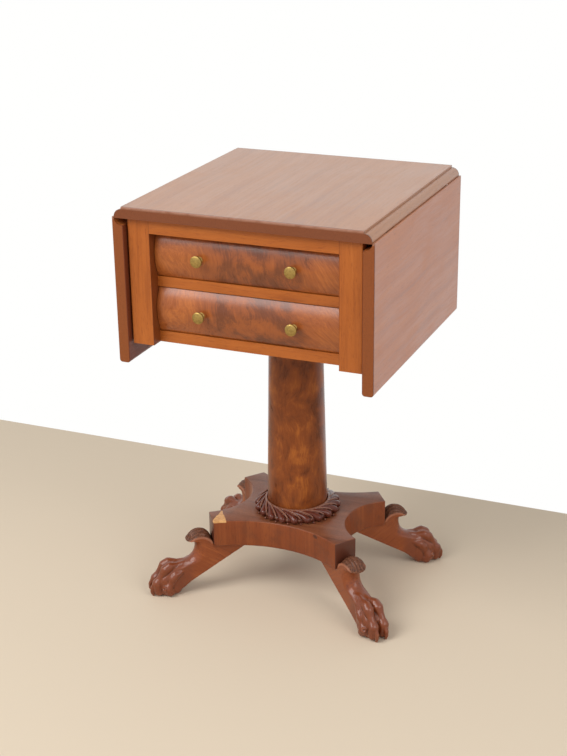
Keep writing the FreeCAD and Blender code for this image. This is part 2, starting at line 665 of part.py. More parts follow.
fly_pins = []
for side, sign in (("left", -1), ("right", 1)):
    panel = block(f"{side}_side_board", mirrored(sign, SIDE_X, CASE_X), both(POST_Y), (CASE_LOW, BOARD_UNDER))
    whole = joined(f"{side}_side_whole", [panel, side_tongue(f"{side}_side_tongue", sign, "0")])
    notch = block(f"{side}_fly_notch", mirrored(sign, SIDE_X, CASE_X), both("(dims.fly_long / 2)"),
                  (fly_low, BOARD_UNDER))
    pin_hole = fly_pin(f"{side}_fly_pin_socket", sign, "dims.pin_gap")
    keep(cut(f"{side}_side_panel", whole, [notch, pin_hole]), f"{side}_side_panel")

    inner = f"({sign} * ({fly_middle} - {fly_thick} / 2))"
    outer = f"({sign} * ({fly_middle} + {fly_thick} / 2))"
    bracket_arm = padded(f"{side}_fly_arm", "XY_Plane", [
        (inner, f"-{fly_end} + dims.fly_grip"),
        (outer, f"-{fly_end}"),
        (outer, fly_pin_y, f"{fly_thick} / 2", sign),
        (f"({sign} * {fly_middle})", fly_end, f"{fly_thick} / 2", sign),
        (inner, fly_pin_y),
    ], "dims.fly_high - 2 * dims.fly_gap", symmetric=False)
    bracket_arm.setExpression("Placement.Base.z", f"{fly_low} + dims.fly_gap")
    bracket_hole = fly_pin(f"{side}_fly_bracket_hole", sign, "dims.pin_gap")
    keep(cut(f"{side}_fly_bracket", bracket_arm, [bracket_hole]), f"{side}_fly_bracket")
    fly_pins.append(fly_pin(f"{side}_fly_pin", sign, "0"))
keep(group("fly_pins", fly_pins), "fly_pins")

# Case floor and the cleat that joins the case to the column
floor_y = ("-" + RAIL_BACK_Y, BACK_Y)
cleat_screw_long = "(dims.cleat_thick + dims.cleat_screw_bite)"


def cleat_screws(name, room):
    """Four screws through the corners of the cleat into the case floor."""
    pieces = []
    for x_sign in (-1, 1):
        for y_sign in (-1, 1):
            pieces.append(screw(
                f"{name}_{x_sign + 1}{y_sign + 1}", cleat_screw_long,
                f"{x_sign} * (dims.cleat_wide / 2 - dims.cleat_screw_inset)",
                f"{y_sign} * (dims.cleat_deep / 2 - dims.cleat_screw_inset)",
                CLEAT_LOW, room=room))
    return pieces


floor_board = block("floor_board", both(OPENING_X), floor_y, (CASE_LOW, FLOOR_TOP))
keep(cut("case_floor", floor_board, cleat_screws("floor_screw_hole", "dims.screw_gap")), "case_floor")
cleat_x = "(dims.cleat_wide / 2)"
cleat_bevel_z = f"({CLEAT_LOW} + dims.cleat_ease)"
cleat_board = padded("cleat_board", "XZ_Plane", [
    (f"-{cleat_x}", CASE_LOW),
    (f"-{cleat_x}", cleat_bevel_z),
    (f"-{cleat_x} + dims.cleat_ease", CLEAT_LOW),
    (f"{cleat_x} - dims.cleat_ease", CLEAT_LOW),
    (cleat_x, cleat_bevel_z),
    (cleat_x, CASE_LOW),
], "dims.cleat_deep")
cleat_bore = rod("cleat_bore", f"{tenon_radius} + dims.joint_gap", "dims.cleat_thick", "0", "0", CLEAT_LOW)
keep(cut("column_cleat", cleat_board, [cleat_bore] + cleat_screws("cleat_screw_hole", "dims.screw_gap")),
     "column_cleat")
keep(group("cleat_screws", cleat_screws("cleat_screw", "0")), "cleat_screws")

# Drawer ways: runners below, guides beside, kickers above and stops behind the drawers
lower_runners = []
upper_runners = []
guides = []
stops = []
kickers = []
top_screws = []
drawer_end = f"({BACK_Y} - dims.back_room)"
ledge_x = f"({OPENING_X} - dims.runner_ledge)"
kicker_low = f"({TOP_RAIL_LOW} + dims.kicker_gap)"
kicker_screw_long = f"({BOARD_UNDER} - {kicker_low} + dims.kicker_screw_bite)"


def kicker_screws(name, sign, room):
    """Two screws up through a kicker into the top board."""
    return [
        screw(f"{name}_{y_sign + 1}", kicker_screw_long,
              f"{sign} * ({OPENING_X} - dims.kicker_wide / 2)",
              f"{y_sign} * ({POST_Y} - dims.kicker_screw_inset)",
              kicker_low, room=room)
        for y_sign in (-1, 1)
    ]


top_board_holes = []
for side, sign in (("left", -1), ("right", 1)):
    lower_runners.append(block(
        f"{side}_lower_runner", mirrored(sign, ledge_x, OPENING_X), floor_y, (FLOOR_TOP, LOWER_SILL)))
    upper_runners.append(block(
        f"{side}_upper_runner", mirrored(sign, ledge_x, SIDE_X), ("-" + RAIL_BACK_Y, POST_Y),
        (DIVIDER_LOW, UPPER_SILL)))
    for level, low, sill in (("lower", CASE_LOW, LOWER_SILL), ("upper", UPPER_SILL, UPPER_SILL)):
        guides.append(block(
            f"{side}_{level}_guide", mirrored(sign, OPENING_X, SIDE_X), both(POST_Y),
            (low, f"{sill} + dims.guide_high")))
        stops.append(block(
            f"{side}_{level}_stop", mirrored(sign, f"{OPENING_X} - dims.stop_wide", OPENING_X),
            (f"{drawer_end} + dims.stop_gap", BACK_Y), (sill, f"{sill} + dims.stop_high")))
    strip = block(
        f"{side}_kicker_strip", mirrored(sign, f"{OPENING_X} - dims.kicker_wide", OPENING_X),
        (f"-{CASE_Y} + dims.top_rail_thick", BACK_Y), (kicker_low, BOARD_UNDER))
    kickers.append(cut(f"{side}_kicker", strip, kicker_screws(f"{side}_kicker_hole", sign, "dims.screw_gap")))
    top_screws += kicker_screws(f"{side}_top_screw", sign, "0")
    top_board_holes += kicker_screws(f"{side}_top_board_hole", sign, "dims.screw_gap")
keep(group("lower_runners", lower_runners), "lower_runners")
keep(group("upper_runners", upper_runners), "upper_runners")
keep(group("drawer_guides", guides), "drawer_guides")
keep(group("drawer_stops", stops), "drawer_stops")
keep(group("drawer_kickers", kickers), "drawer_kickers")
keep(group("top_screws", top_screws), "top_screws")

# Hinges: two under each rule joint, let in flush, with the short plate under the top and the long one
# on the leaf. The pin is the centre of the rule joint.
barrel_radius = "(dims.barrel_dia / 2)"
barrel_room = f"({barrel_radius} + dims.mortise_gap)"
knuckle_long = "((dims.hinge_width - 2 * dims.knuckle_gap) / 3)"
along_y = FreeCAD.Rotation(X_AXIS, -90)
hinge_places = (("front", f"(-({BOARD_Y} - dims.hinge_inset))"), ("rear", f"({BOARD_Y} - dims.hinge_inset)"))
plate_top_z = f"({BOARD_UNDER} + dims.hinge_plate)"
plate_leaf_x = f"({LEAF_INNER_X} + dims.hinge_plate)"


def knuckle(name, sign, start, length, radius):
    """A length of the hinge's barrel."""
    return rod(name, radius, length, f"{sign} * {PIN_X}", start, PIN_Z, along_y)


def top_plate_screws(name, sign, middle, room):
    """Two screws through the short plate, up into the top board."""
    pieces = []
    for number, (share, across) in enumerate(TOP_PLATE_SCREWS):
        pieces.append(screw(
            f"{name}_{number}", "dims.hinge_screw",
            f"{sign} * ({PIN_X} - dims.top_flap * {share})", f"{middle} + dims.hinge_width * {across}",
            BOARD_UNDER, room=room))
    return pieces


def leaf_plate_screws(name, sign, middle, room):
    """Three screws through the long plate, out into the leaf."""
    turn = FreeCAD.Rotation(Y_AXIS, 90 * sign)
    pieces = []
    for number, (share, across) in enumerate(LEAF_PLATE_SCREWS):
        pieces.append(screw(
            f"{name}_{number}", "dims.hinge_screw",
            f"{sign} * {LEAF_INNER_X}", f"{middle} + dims.hinge_width * {across}",
            f"{PIN_Z} - dims.leaf_flap * {share}", turn, room))
    return pieces


for side, sign in (("left", -1), ("right", 1)):
    top_plates = []
    leaf_plates = []
    pins = []
    top_plate_screw_set = []
    leaf_plate_screw_set = []
    leaf_room = []
    for end, middle in hinge_places:
        name = f"{side}_{end}_hinge"
        start = f"({middle} - dims.hinge_width / 2)"
        starts = [f"({start} + {step} * ({knuckle_long} + dims.knuckle_gap))" for step in range(3)]
        hinge_span = (start, f"{start} + dims.hinge_width")
        pin_bore = "dims.hinge_pin_dia / 2 + dims.pin_gap"

        plate = block(
            f"{name}_top_plate", mirrored(sign, f"{PIN_X} - dims.top_flap", f"{PIN_X} - {barrel_room}"),
            hinge_span, (BOARD_UNDER, plate_top_z))
        shape = [plate]
        for number in (0, 2):
            shape.append(block(
                f"{name}_top_tongue_{number}", mirrored(sign, f"{PIN_X} - dims.top_flap", PIN_X),
                (starts[number], f"{starts[number]} + {knuckle_long}"), (BOARD_UNDER, plate_top_z)))
            shape.append(knuckle(
                f"{name}_top_knuckle_{number}", sign, starts[number], knuckle_long, barrel_radius))
        bore = knuckle(f"{name}_top_bore", sign, start, "dims.hinge_width", pin_bore)
        holes = top_plate_screws(f"{name}_top_plate_hole", sign, middle, "dims.screw_gap")
        top_plates.append(cut(f"{name}_top_flap", joined(f"{name}_top_flap_blank", shape), [bore] + holes))

        plate = block(f"{name}_leaf_plate", mirrored(sign, LEAF_INNER_X, plate_leaf_x), hinge_span,
                      (f"{PIN_Z} - dims.leaf_flap", f"{PIN_Z} - {barrel_room}"))
        tongue = block(f"{name}_leaf_tongue", mirrored(sign, LEAF_INNER_X, plate_leaf_x),
                       (starts[1], f"{starts[1]} + {knuckle_long}"), (f"{PIN_Z} - dims.leaf_flap", PIN_Z))
        ring = knuckle(f"{name}_leaf_knuckle", sign, starts[1], knuckle_long, barrel_radius)
        bore = knuckle(f"{name}_leaf_bore", sign, start, "dims.hinge_width", pin_bore)
        holes = leaf_plate_screws(f"{name}_leaf_plate_hole", sign, middle, "dims.screw_gap")
        blank = joined(f"{name}_leaf_flap_blank", [plate, tongue, ring])
        leaf_plates.append(cut(f"{name}_leaf_flap", blank, [bore] + holes))

        pins.append(knuckle(f"{name}_pin", sign, start, "dims.hinge_width", "dims.hinge_pin_dia / 2"))
        top_plate_screw_set += top_plate_screws(f"{name}_top_screw", sign, middle, "0")
        leaf_plate_screw_set += leaf_plate_screws(f"{name}_leaf_screw", sign, middle, "0")

        let_in = widened(hinge_span, "dims.mortise_gap")
        top_board_holes.append(block(
            f"{name}_top_mortise",
            mirrored(sign, f"{PIN_X} - dims.top_flap - dims.mortise_gap", LEAF_OUTER_X),
            let_in, (BOARD_UNDER, f"{plate_top_z} + dims.mortise_gap")))
        top_board_holes.append(block(
            f"{name}_barrel_mortise",
            mirrored(sign, f"{PIN_X} - {barrel_room}", f"{PIN_X} + {barrel_room}"),
            let_in, (BOARD_UNDER, f"{PIN_Z} + {barrel_room}")))
        top_board_holes += top_plate_screws(f"{name}_top_screw_hole", sign, middle, "dims.screw_gap")
        leaf_room.append(block(
            f"{name}_leaf_mortise",
            mirrored(sign, LEAF_INNER_X, f"{plate_leaf_x} + dims.mortise_gap"),
            let_in, (f"{PIN_Z} - dims.leaf_flap - dims.mortise_gap", PIN_Z)))
        leaf_room += leaf_plate_screws(f"{name}_leaf_screw_hole", sign, middle, "dims.screw_gap")
    keep(group(f"{side}_hinge_top_plates", top_plates), f"{side}_hinge_top_plates")
    keep(group(f"{side}_hinge_leaf_plates", leaf_plates), f"{side}_hinge_leaf_plates")
    keep(group(f"{side}_hinge_pins", pins), f"{side}_hinge_pins")
    keep(group(f"{side}_top_plate_screws", top_plate_screw_set), f"{side}_top_plate_screws")
    keep(group(f"{side}_leaf_plate_screws", leaf_plate_screw_set), f"{side}_leaf_plate_screws")

    # Leaf: hangs from its hinges, hollowed at the top to turn round the edge of the top board
    lip_z = f"({PIN_Z} - dims.lip_gap)"
    outer = f"({sign} * {LEAF_OUTER_X})"
    inner = f"({sign} * {LEAF_INNER_X})"
    leaf_blank = padded(f"{side}_leaf_blank", "XZ_Plane", [
        (outer, lip_z),
        (f"{sign} * ({PIN_X} + sqrt({HOLLOW_RADIUS} ^ 2 - dims.lip_gap ^ 2))", lip_z, HOLLOW_RADIUS, -sign),
        (inner, f"{PIN_Z} - sqrt({HOLLOW_RADIUS} ^ 2 - dims.pin_rise ^ 2)"),
        (inner, f"{LEAF_LOW} + dims.leaf_round", "dims.leaf_round", sign),
        (f"{sign} * ({LEAF_INNER_X} + dims.leaf_round)", LEAF_LOW),
        (f"{sign} * ({LEAF_OUTER_X} - dims.leaf_round)", LEAF_LOW, "dims.leaf_round", sign),
        (outer, f"{LEAF_LOW} + dims.leaf_round"),
    ], "dims.top_depth")
    end_y = size_of(BOARD_Y)
    face_x = size_of(LEAF_OUTER_X)
    eased(leaf_blank, "dims.board_ease", lambda box: (
        close_to(abs(box.YMin), end_y) and close_to(box.YLength, 0) and not close_to(box.ZLength, 0)
        and close_to(max(abs(box.XMin), abs(box.XMax)), face_x)))
    keep(cut(f"{side}_leaf", leaf_blank, leaf_room), f"{side}_leaf")

# Top board: the fixed middle of the top, with a step and a round along both sides
step_z = "(dims.height - dims.rule_step)"
edge_x = f"({PIN_X} + {RULE_RADIUS})"
top_blank = padded("top_blank", "XZ_Plane", [
    (f"-{edge_x}", BOARD_UNDER),
    (edge_x, BOARD_UNDER),
    (edge_x, PIN_Z, RULE_RADIUS, 1),
    (PIN_X, step_z),
    (PIN_X, "dims.height"),
    (f"-{PIN_X}", "dims.height"),
    (f"-{PIN_X}", step_z, RULE_RADIUS, 1),
    (f"-{edge_x}", PIN_Z),
], "dims.top_depth")
top_length = size_of("dims.top_width")
eased(top_blank, "dims.board_ease", lambda box: (
    close_to(box.XLength, top_length) and close_to(box.YLength, 0) and close_to(box.ZLength, 0)))
keep(cut("top_board", top_blank, top_board_holes), "top_board")

# Drawers: a swelled front, two dovetailed sides, a back, a grooved-in bottom and two knobs
drawer_x = f"({OPENING_X} - dims.drawer_gap)"
inside_x = f"({drawer_x} - dims.drawer_side_thick)"
front_edge_y = f"(-({RAIL_Y} - dims.drawer_inset))"
front_back_y = f"({front_edge_y} + dims.front_thick)"
front_high = f"({OPENING_HIGH} - dims.drawer_gap - dims.drawer_drop)"
bulge_radius = f"((({front_high} / 2) ^ 2 + dims.front_bulge ^ 2) / (2 * dims.front_bulge))"
bulge_y = f"({front_edge_y} - dims.front_bulge)"


def drawer_side(name, low, high):
    """A drawer side with dovetails at its front end, as thick as the side and set at x = 0."""
    pitch = f"(({high} - {low}) / {TAIL_COUNT})"
    corners = [(front_back_y, low), (drawer_end, low), (drawer_end, high), (front_back_y, high)]
    for tail in reversed(range(TAIL_COUNT)):
        middle = f"({low} + {pitch} * {tail + 0.5})"
        tip_y = f"{front_back_y} - dims.tail_long"
        corners.append((front_back_y, f"{middle} + dims.tail_root / 2"))
        corners.append((tip_y, f"{middle} + dims.tail_tip / 2"))
        corners.append((tip_y, f"{middle} - dims.tail_tip / 2"))
        corners.append((front_back_y, f"{middle} - dims.tail_root / 2"))
    return padded(name, "YZ_Plane", corners, "dims.drawer_side_thick", symmetric=False)


def knob(name, x, z):
    """A knob turned in one piece: post, foot, neck and a domed head."""
    head_radius = "(dims.knob_dia / 2)"
    neck_radius = "(dims.knob_neck_dia / 2)"
    base_radius = "(dims.knob_base_dia / 2)"
    post_radius = "(dims.knob_post_dia / 2)"
    head_low = "(dims.knob_reach - dims.knob_head_thick)"
    dome = "(dims.knob_head_thick / 2)"
    dome_radius = f"(({head_radius} ^ 2 + {dome} ^ 2) / (2 * {dome}))"
    post_low = f"({bulge_y} - {front_back_y} - dims.knob_nut_thick - dims.knob_post_end)"
    body = turned(name, [
        ("0", post_low),
        (post_radius, post_low),
        (post_radius, "0"),
        (base_radius, "0"),
        (base_radius, "dims.knob_base_thick / 2"),
        (neck_radius, "dims.knob_base_thick"),
        (neck_radius, head_low),
        (head_radius, f"{head_low} + dims.knob_head_thick / 4"),
        (head_radius, f"{head_low} + {dome}", dome_radius, 1),
        ("0", "dims.knob_reach"),
    ])
    return place(body, x, bulge_y, z, FreeCAD.Rotation(X_AXIS, 90))


for level, sill in (("upper", UPPER_SILL), ("lower", LOWER_SILL)):
    name = f"{level}_drawer"
    front_low = f"({sill} + dims.drawer_gap)"
    front_top = f"({front_low} + {front_high})"
    side_low = f"({sill} + dims.ride_gap)"
    side_top = f"({front_top} - dims.side_drop)"
    bottom_low = f"({side_low} + dims.groove_rise)"
    bottom_top = f"({bottom_low} + dims.drawer_bottom_thick)"
    middle_z = f"(({front_low} + {front_top}) / 2)"
    groove_x = widened(both(f"({inside_x} + dims.groove_deep)"), "dims.groove_gap")
    groove_z = widened((bottom_low, bottom_top), "dims.groove_gap")
    groove_front = f"{front_back_y} - dims.groove_deep - dims.groove_gap"

    front_blank = padded(f"{name}_front_blank", "YZ_Plane", [
        (front_back_y, front_low),
        (front_back_y, front_top),
        (front_edge_y, front_top, bulge_radius, 1),
        (front_edge_y, front_low),
    ], f"2 * {drawer_x}")
    sockets = []
    knobs = []
    nuts = []
    for side, sign in (("left", -1), ("right", 1)):
        side_board = drawer_side(f"{name}_{side}_board", side_low, side_top)
        side_board.setExpression("Placement.Base.x", mirrored(sign, inside_x, drawer_x)[0])
        side_groove = block(f"{name}_{side}_groove", groove_x, (groove_front, drawer_end), groove_z)
        keep(cut(f"{name}_{side}_side", side_board, [side_groove]), f"{name}_{side}_side")
        sockets.append(side_board)

        knob_x = f"({sign} * dims.knob_spacing / 2)"
        knobs.append(knob(f"{name}_{side}_knob", knob_x, middle_z))
        into_front = FreeCAD.Rotation(X_AXIS, -90)
        post_bore = "dims.knob_post_dia / 2 + dims.pin_gap"
        nut = rod(f"{name}_{side}_nut_blank", "dims.knob_nut_dia / 2", "dims.knob_nut_thick",
                  knob_x, front_back_y, middle_z, into_front)
        nut_bore = rod(f"{name}_{side}_nut_bore", post_bore, "dims.knob_nut_thick",
                       knob_x, front_back_y, middle_z, into_front)
        nuts.append(cut(f"{name}_{side}_nut", nut, [nut_bore]))
        sockets.append(rod(f"{name}_{side}_post_hole", post_bore, f"{front_back_y} - {bulge_y}",
                           knob_x, bulge_y, middle_z, into_front))
    front_groove = block(f"{name}_front_groove", groove_x, (groove_front, front_back_y), groove_z)
    keep(cut(f"{name}_front", front_blank, sockets + [front_groove]), f"{name}_front")
    back_y = (f"{drawer_end} - dims.drawer_back_thick", drawer_end)
    keep(block(f"{name}_back", both(inside_x), back_y, (f"{bottom_top} + dims.groove_gap", side_top)),
         f"{name}_back")
    keep(block(f"{name}_bottom", both(f"({inside_x} + dims.groove_deep)"),
               (f"{front_back_y} - dims.groove_deep", drawer_end), (bottom_low, bottom_top)),
         f"{name}_bottom")
    keep(group(f"{name}_knobs", knobs), f"{name}_knobs")
    keep(group(f"{name}_knob_nuts", nuts), f"{name}_knob_nuts")

doc.recompute()

# Nothing is written unless every object of the document came out whole
faults = []
for item in doc.Objects:
    if "Invalid" in item.State or "Error" in item.State:
        faults.append(item.Name)
for piece in sub_parts:
    if piece.Shape.isNull() or not piece.Shape.isValid() or not piece.Shape.Solids:
        faults.append(piece.Label)
if faults:
    raise SystemExit("faulty: " + ", ".join(faults))

os.makedirs("parts", exist_ok=True)
for piece in sub_parts:
    piece.Shape.exportStep(os.path.join("parts", piece.Label + ".step"))
    print(f"{piece.Label}: {len(piece.Shape.Solids)} solids, {piece.Shape.Volume / 1000:.1f} cm3")
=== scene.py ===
import json
import math

import bmesh
import bpy
from mathutils import Matrix, Vector

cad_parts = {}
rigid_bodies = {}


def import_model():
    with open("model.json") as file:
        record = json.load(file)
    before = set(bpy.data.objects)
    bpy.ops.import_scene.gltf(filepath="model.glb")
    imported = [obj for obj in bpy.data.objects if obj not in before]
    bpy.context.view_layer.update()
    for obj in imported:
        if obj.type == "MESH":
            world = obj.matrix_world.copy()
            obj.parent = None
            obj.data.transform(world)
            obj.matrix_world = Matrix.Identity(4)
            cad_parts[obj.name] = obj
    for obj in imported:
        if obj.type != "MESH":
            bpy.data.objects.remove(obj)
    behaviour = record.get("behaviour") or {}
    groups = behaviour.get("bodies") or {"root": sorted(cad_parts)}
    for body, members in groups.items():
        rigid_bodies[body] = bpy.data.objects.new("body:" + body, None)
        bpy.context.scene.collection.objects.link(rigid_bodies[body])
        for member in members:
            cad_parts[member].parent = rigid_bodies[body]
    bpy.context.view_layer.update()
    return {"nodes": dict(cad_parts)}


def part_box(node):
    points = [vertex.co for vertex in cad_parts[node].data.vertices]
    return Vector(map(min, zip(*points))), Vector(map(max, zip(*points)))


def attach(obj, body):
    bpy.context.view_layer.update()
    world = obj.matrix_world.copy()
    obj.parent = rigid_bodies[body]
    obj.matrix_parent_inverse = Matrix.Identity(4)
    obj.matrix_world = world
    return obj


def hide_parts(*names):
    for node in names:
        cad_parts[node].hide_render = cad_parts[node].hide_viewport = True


for leftover in list(bpy.data.objects):
    bpy.data.objects.remove(leftover)
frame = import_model()

# Platform
# A thick board with four hollow sides and cut-off corners, faced with mahogany veneer: upright grain round
# the edge and a darker sheet on top. The column is tenoned into it and the legs are dowelled under it.
MM = 0.001
TOUCH = 0.001 * MM
LEG_ANGLE = math.radians(36.5)
CORNER_REACH = 158.5 * MM
CORNER_WIDE = 43 * MM
FRONT_WAIST = 77.5 * MM
SIDE_WAIST = 97 * MM
PLATFORM_EASE = 2 * MM
ARC_STEP = math.radians(4)
ARC_STEPS_LEAST = 4
ARC_TOUCH = 0.02 * MM
SHARP = math.radians(32)
# The corners of the chip in the top, in mm
CHIP_CORNERS = [(-119, -119), (-91.5, -104), (-120, -65)]
CHIP_DEEP = 3.2 * MM
CHIP_SOFT = 0.6 * MM
KNOCK = Vector((69, -90, 134)) * MM
KNOCK_SHAPE = (0.6, 0.6, 1.3)
KNOCK_OUTER = 4.6 * MM
KNOCK_INNER = 2.6 * MM
platform_low, platform_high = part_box("platform")
leg_turns = {
    "front_right": -LEG_ANGLE,
    "rear_right": LEG_ANGLE,
    "rear_left": math.pi - LEG_ANGLE,
    "front_left": math.pi + LEG_ANGLE,
}


def sawn_board(bm, corners, through):
    """A board sawn to an outline. A corner is (point, rise), where the edge that leaves it bows to its left
    by rise, to its right where rise is below 0, and is straight where it is 0."""
    normal = through.normalized()
    ends = [bm.verts.new(point) for point, rise in corners]
    rises = [rise for point, rise in corners]
    for start, goal, rise in zip(ends, ends[1:] + ends[:1], rises):
        if rise == 0:
            bm.edges.new((start, goal))
            continue
        chord = goal.co - start.co
        side = math.copysign(1, rise)
        radius = (chord.length ** 2 / 4 + rise ** 2) / (2 * abs(rise))
        left = normal.cross(chord).normalized()
        centre = (start.co + goal.co) / 2 + left * side * (abs(rise) - radius)
        sweep = 2 * math.asin(chord.length / 2 / radius)
        bmesh.ops.spin(
            bm, geom=[start], cent=centre, axis=normal, dvec=(0, 0, 0), angle=-side * sweep,
            steps=max(ARC_STEPS_LEAST, round(sweep / ARC_STEP)), use_merge=False, use_duplicate=False)
    bmesh.ops.remove_doubles(bm, verts=bm.verts, dist=ARC_TOUCH)
    face = bmesh.ops.contextual_create(bm, geom=bm.edges[:])["faces"]
    far_side = bmesh.ops.extrude_face_region(bm, geom=face)["geom"]
    moved = [part for part in far_side if isinstance(part, bmesh.types.BMVert)]
    bmesh.ops.translate(bm, verts=moved, vec=through)
    bmesh.ops.recalc_face_normals(bm, faces=bm.faces)


def ease_edges(bm, width, segments=3):
    """Round the sharp edges over, as sandpaper and years of dusting do."""
    sharp = [edge for edge in bm.edges if edge.calc_face_angle(0) > SHARP]
    bmesh.ops.bevel(
        bm, geom=sharp, offset=width, offset_type="OFFSET", segments=segments, profile=0.5,
        affect="EDGES", material=-1, clamp_overlap=True)


def stood(name, bm, finish):
    """Stand a finished mesh in the scene with its finish on."""
    mesh = bpy.data.meshes.new(name)
    bm.to_mesh(mesh)
    bm.free()
    mesh.materials.append(finish)
    made = bpy.data.objects.new(name, mesh)
    bpy.context.scene.collection.objects.link(made)
    return made


def settle(name, bm, finish, nodes, body="stand"):
    """Close a mesh up, hang it on its body and let it stand for its nodes."""
    bmesh.ops.remove_doubles(bm, verts=bm.verts, dist=TOUCH)
    bmesh.ops.recalc_face_normals(bm, faces=bm.faces)
    piece = stood(name, bm, finish)
    piece.data.shade_smooth()
    piece.data.set_sharp_from_angle(angle=SHARP)
    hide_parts(*nodes)
    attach(piece, body)


def plug(tree, value, socket):
    """Link a socket to another, or set it to a number or colour."""
    if isinstance(value, bpy.types.NodeSocket):
        tree.links.new(value, socket)
    else:
        socket.default_value = value


def node(tree, kind, inputs=None, **settings):
    """A shader node with its settings, and its inputs linked or set."""
    made = tree.nodes.new("ShaderNode" + kind)
    for name, value in settings.items():
        setattr(made, name, value)
    for name, value in (inputs or {}).items():
        plug(tree, value, made.inputs[name])
    return made


def noise(tree, place, scale, detail=3.0, rough=0.55, stretch=(1, 1, 1)):
    """Noise with so many waves to the metre, slower along the axes that stretch makes small."""
    spread = node(tree, "Mapping", {"Vector": place, "Scale": stretch}).outputs["Vector"]
    made = node(tree, "TexNoise", {"Vector": spread, "Scale": scale, "Detail": detail, "Roughness": rough})
    return made.outputs["Fac"]


def maths(tree, operation, first, second=0.0):
    """One step of arithmetic."""
    return node(tree, "Math", {0: first, 1: second}, operation=operation).outputs[0]


def between(tree, value, low, high, bottom=0.0, top=1.0):
    """Bottom where the value is low, top where it is high, and an even change between."""
    inputs = {"Value": value, "From Min": low, "From Max": high, "To Min": bottom, "To Max": top}
    return node(tree, "MapRange", inputs, interpolation_type="SMOOTHSTEP").outputs["Result"]


def mixed(tree, share, first, second, mode="MIX"):
    """A colour between two others."""
    made = node(tree, "Mix", {0: share, 6: first, 7: second}, data_type="RGBA", blend_type=mode)
    return made.outputs[2]


def colour(red, green, blue):
    """A colour in linear light."""
    return (red, green, blue, 1.0)


def group_of(name, inputs, outputs):
    """An empty node group with its sockets, and its two ends."""
    tree = bpy.data.node_groups.new(name, "ShaderNodeTree")
    for socket, kind in inputs:
        tree.interface.new_socket(socket, in_out="INPUT", socket_type="NodeSocket" + kind)
    for socket, kind in outputs:
        tree.interface.new_socket(socket, in_out="OUTPUT", socket_type="NodeSocket" + kind)
    return tree, tree.nodes.new("NodeGroupInput").outputs, tree.nodes.new("NodeGroupOutput").inputs


def straight_grain():
    """Plain mahogany with its grain along X: ribbons, streaks and short dark pores."""
    colours = [("Light", "Color"), ("Middle", "Color"), ("Dark", "Color")]
    tree, given, out = group_of(
        "straight_grain", [("Place", "Vector")] + colours,
        [("Colour", "Color"), ("Roughness", "Float"), ("Height", "Float")])
    sway = node(tree, "TexNoise", {"Vector": given["Place"], "Scale": 5.0, "Detail": 1.0}).outputs["Color"]
    sway = node(tree, "VectorMath", {0: sway, 1: (0.5, 0.5, 0.5)}, operation="SUBTRACT").outputs[0]
    sway = node(tree, "VectorMath", {0: sway, "Scale": 0.02}, operation="SCALE").outputs[0]
    place = node(tree, "VectorMath", {0: given["Place"], 1: sway}, operation="ADD").outputs[0]
    ribbon = noise(tree, place, 60.0, 3.0, 0.5, stretch=(0.035, 1, 1))
    streak = noise(tree, place, 300.0, 4.0, 0.6, stretch=(0.02, 1, 1))
    cloud = noise(tree, given["Place"], 9.0, 2.0)
    pore = noise(tree, place, 1100.0, 2.0, 0.5, stretch=(0.06, 1, 1))
    pore = between(tree, pore, 0.58, 0.70)
    figure = maths(tree, "ADD", maths(tree, "MULTIPLY", ribbon, 0.5), maths(tree, "MULTIPLY", streak, 0.35))
    figure = maths(tree, "ADD", figure, maths(tree, "MULTIPLY", cloud, 0.25))
    tone = mixed(tree, between(tree, figure, 0.38, 0.54), given["Dark"], given["Middle"])
    tone = mixed(tree, between(tree, figure, 0.54, 0.72), tone, given["Light"])
    tone = mixed(tree, maths(tree, "MULTIPLY", pore, 0.4), tone, given["Dark"], "MULTIPLY")
    tree.links.new(tone, out["Colour"])
    dullness = maths(tree, "ADD", streak, maths(tree, "MULTIPLY", cloud, 0.7))
    tree.links.new(between(tree, dullness, 0.6, 1.1, 0.30, 0.46), out["Roughness"])
    height = maths(tree, "SUBTRACT", maths(tree, "MULTIPLY", streak, 0.35), pore)
    tree.links.new(height, out["Height"])
    return tree


def placed(tree, group, inputs):
    """A node group in a material."""
    return node(tree, "Group", inputs, node_tree=group).outputs


def begin(name):
    """A material with its tree, its shader and its Object coordinates."""
    finish = bpy.data.materials.new(name)
    finish.use_nodes = True
    tree = finish.node_tree
    return finish, tree, tree.nodes["Principled BSDF"], node(tree, "TexCoord").outputs["Object"]


def surface(tree, shader, tone, rough, height, depth, polish, polish_rough, gleam=0.3):
    """Join colour, roughness and relief to a shader, with a coat of polish over them. Gleam is how strongly
    the wood under the polish reflects."""
    tree.links.new(tone, shader.inputs["Base Color"])
    tree.links.new(rough, shader.inputs["Roughness"])
    bump = node(tree, "Bump", {"Height": height, "Strength": 0.6, "Distance": depth}).outputs["Normal"]
    tree.links.new(bump, shader.inputs["Normal"])
    plug(tree, polish, shader.inputs["Coat Weight"])
    shader.inputs["Coat Roughness"].default_value = polish_rough
    shader.inputs["Specular IOR Level"].default_value = gleam


plain_grain = straight_grain()
ALONG_X = (0, 0, 0)
ALONG_Y = (0, 0, math.radians(90))
ALONG_Z = (0, math.radians(90), 0)

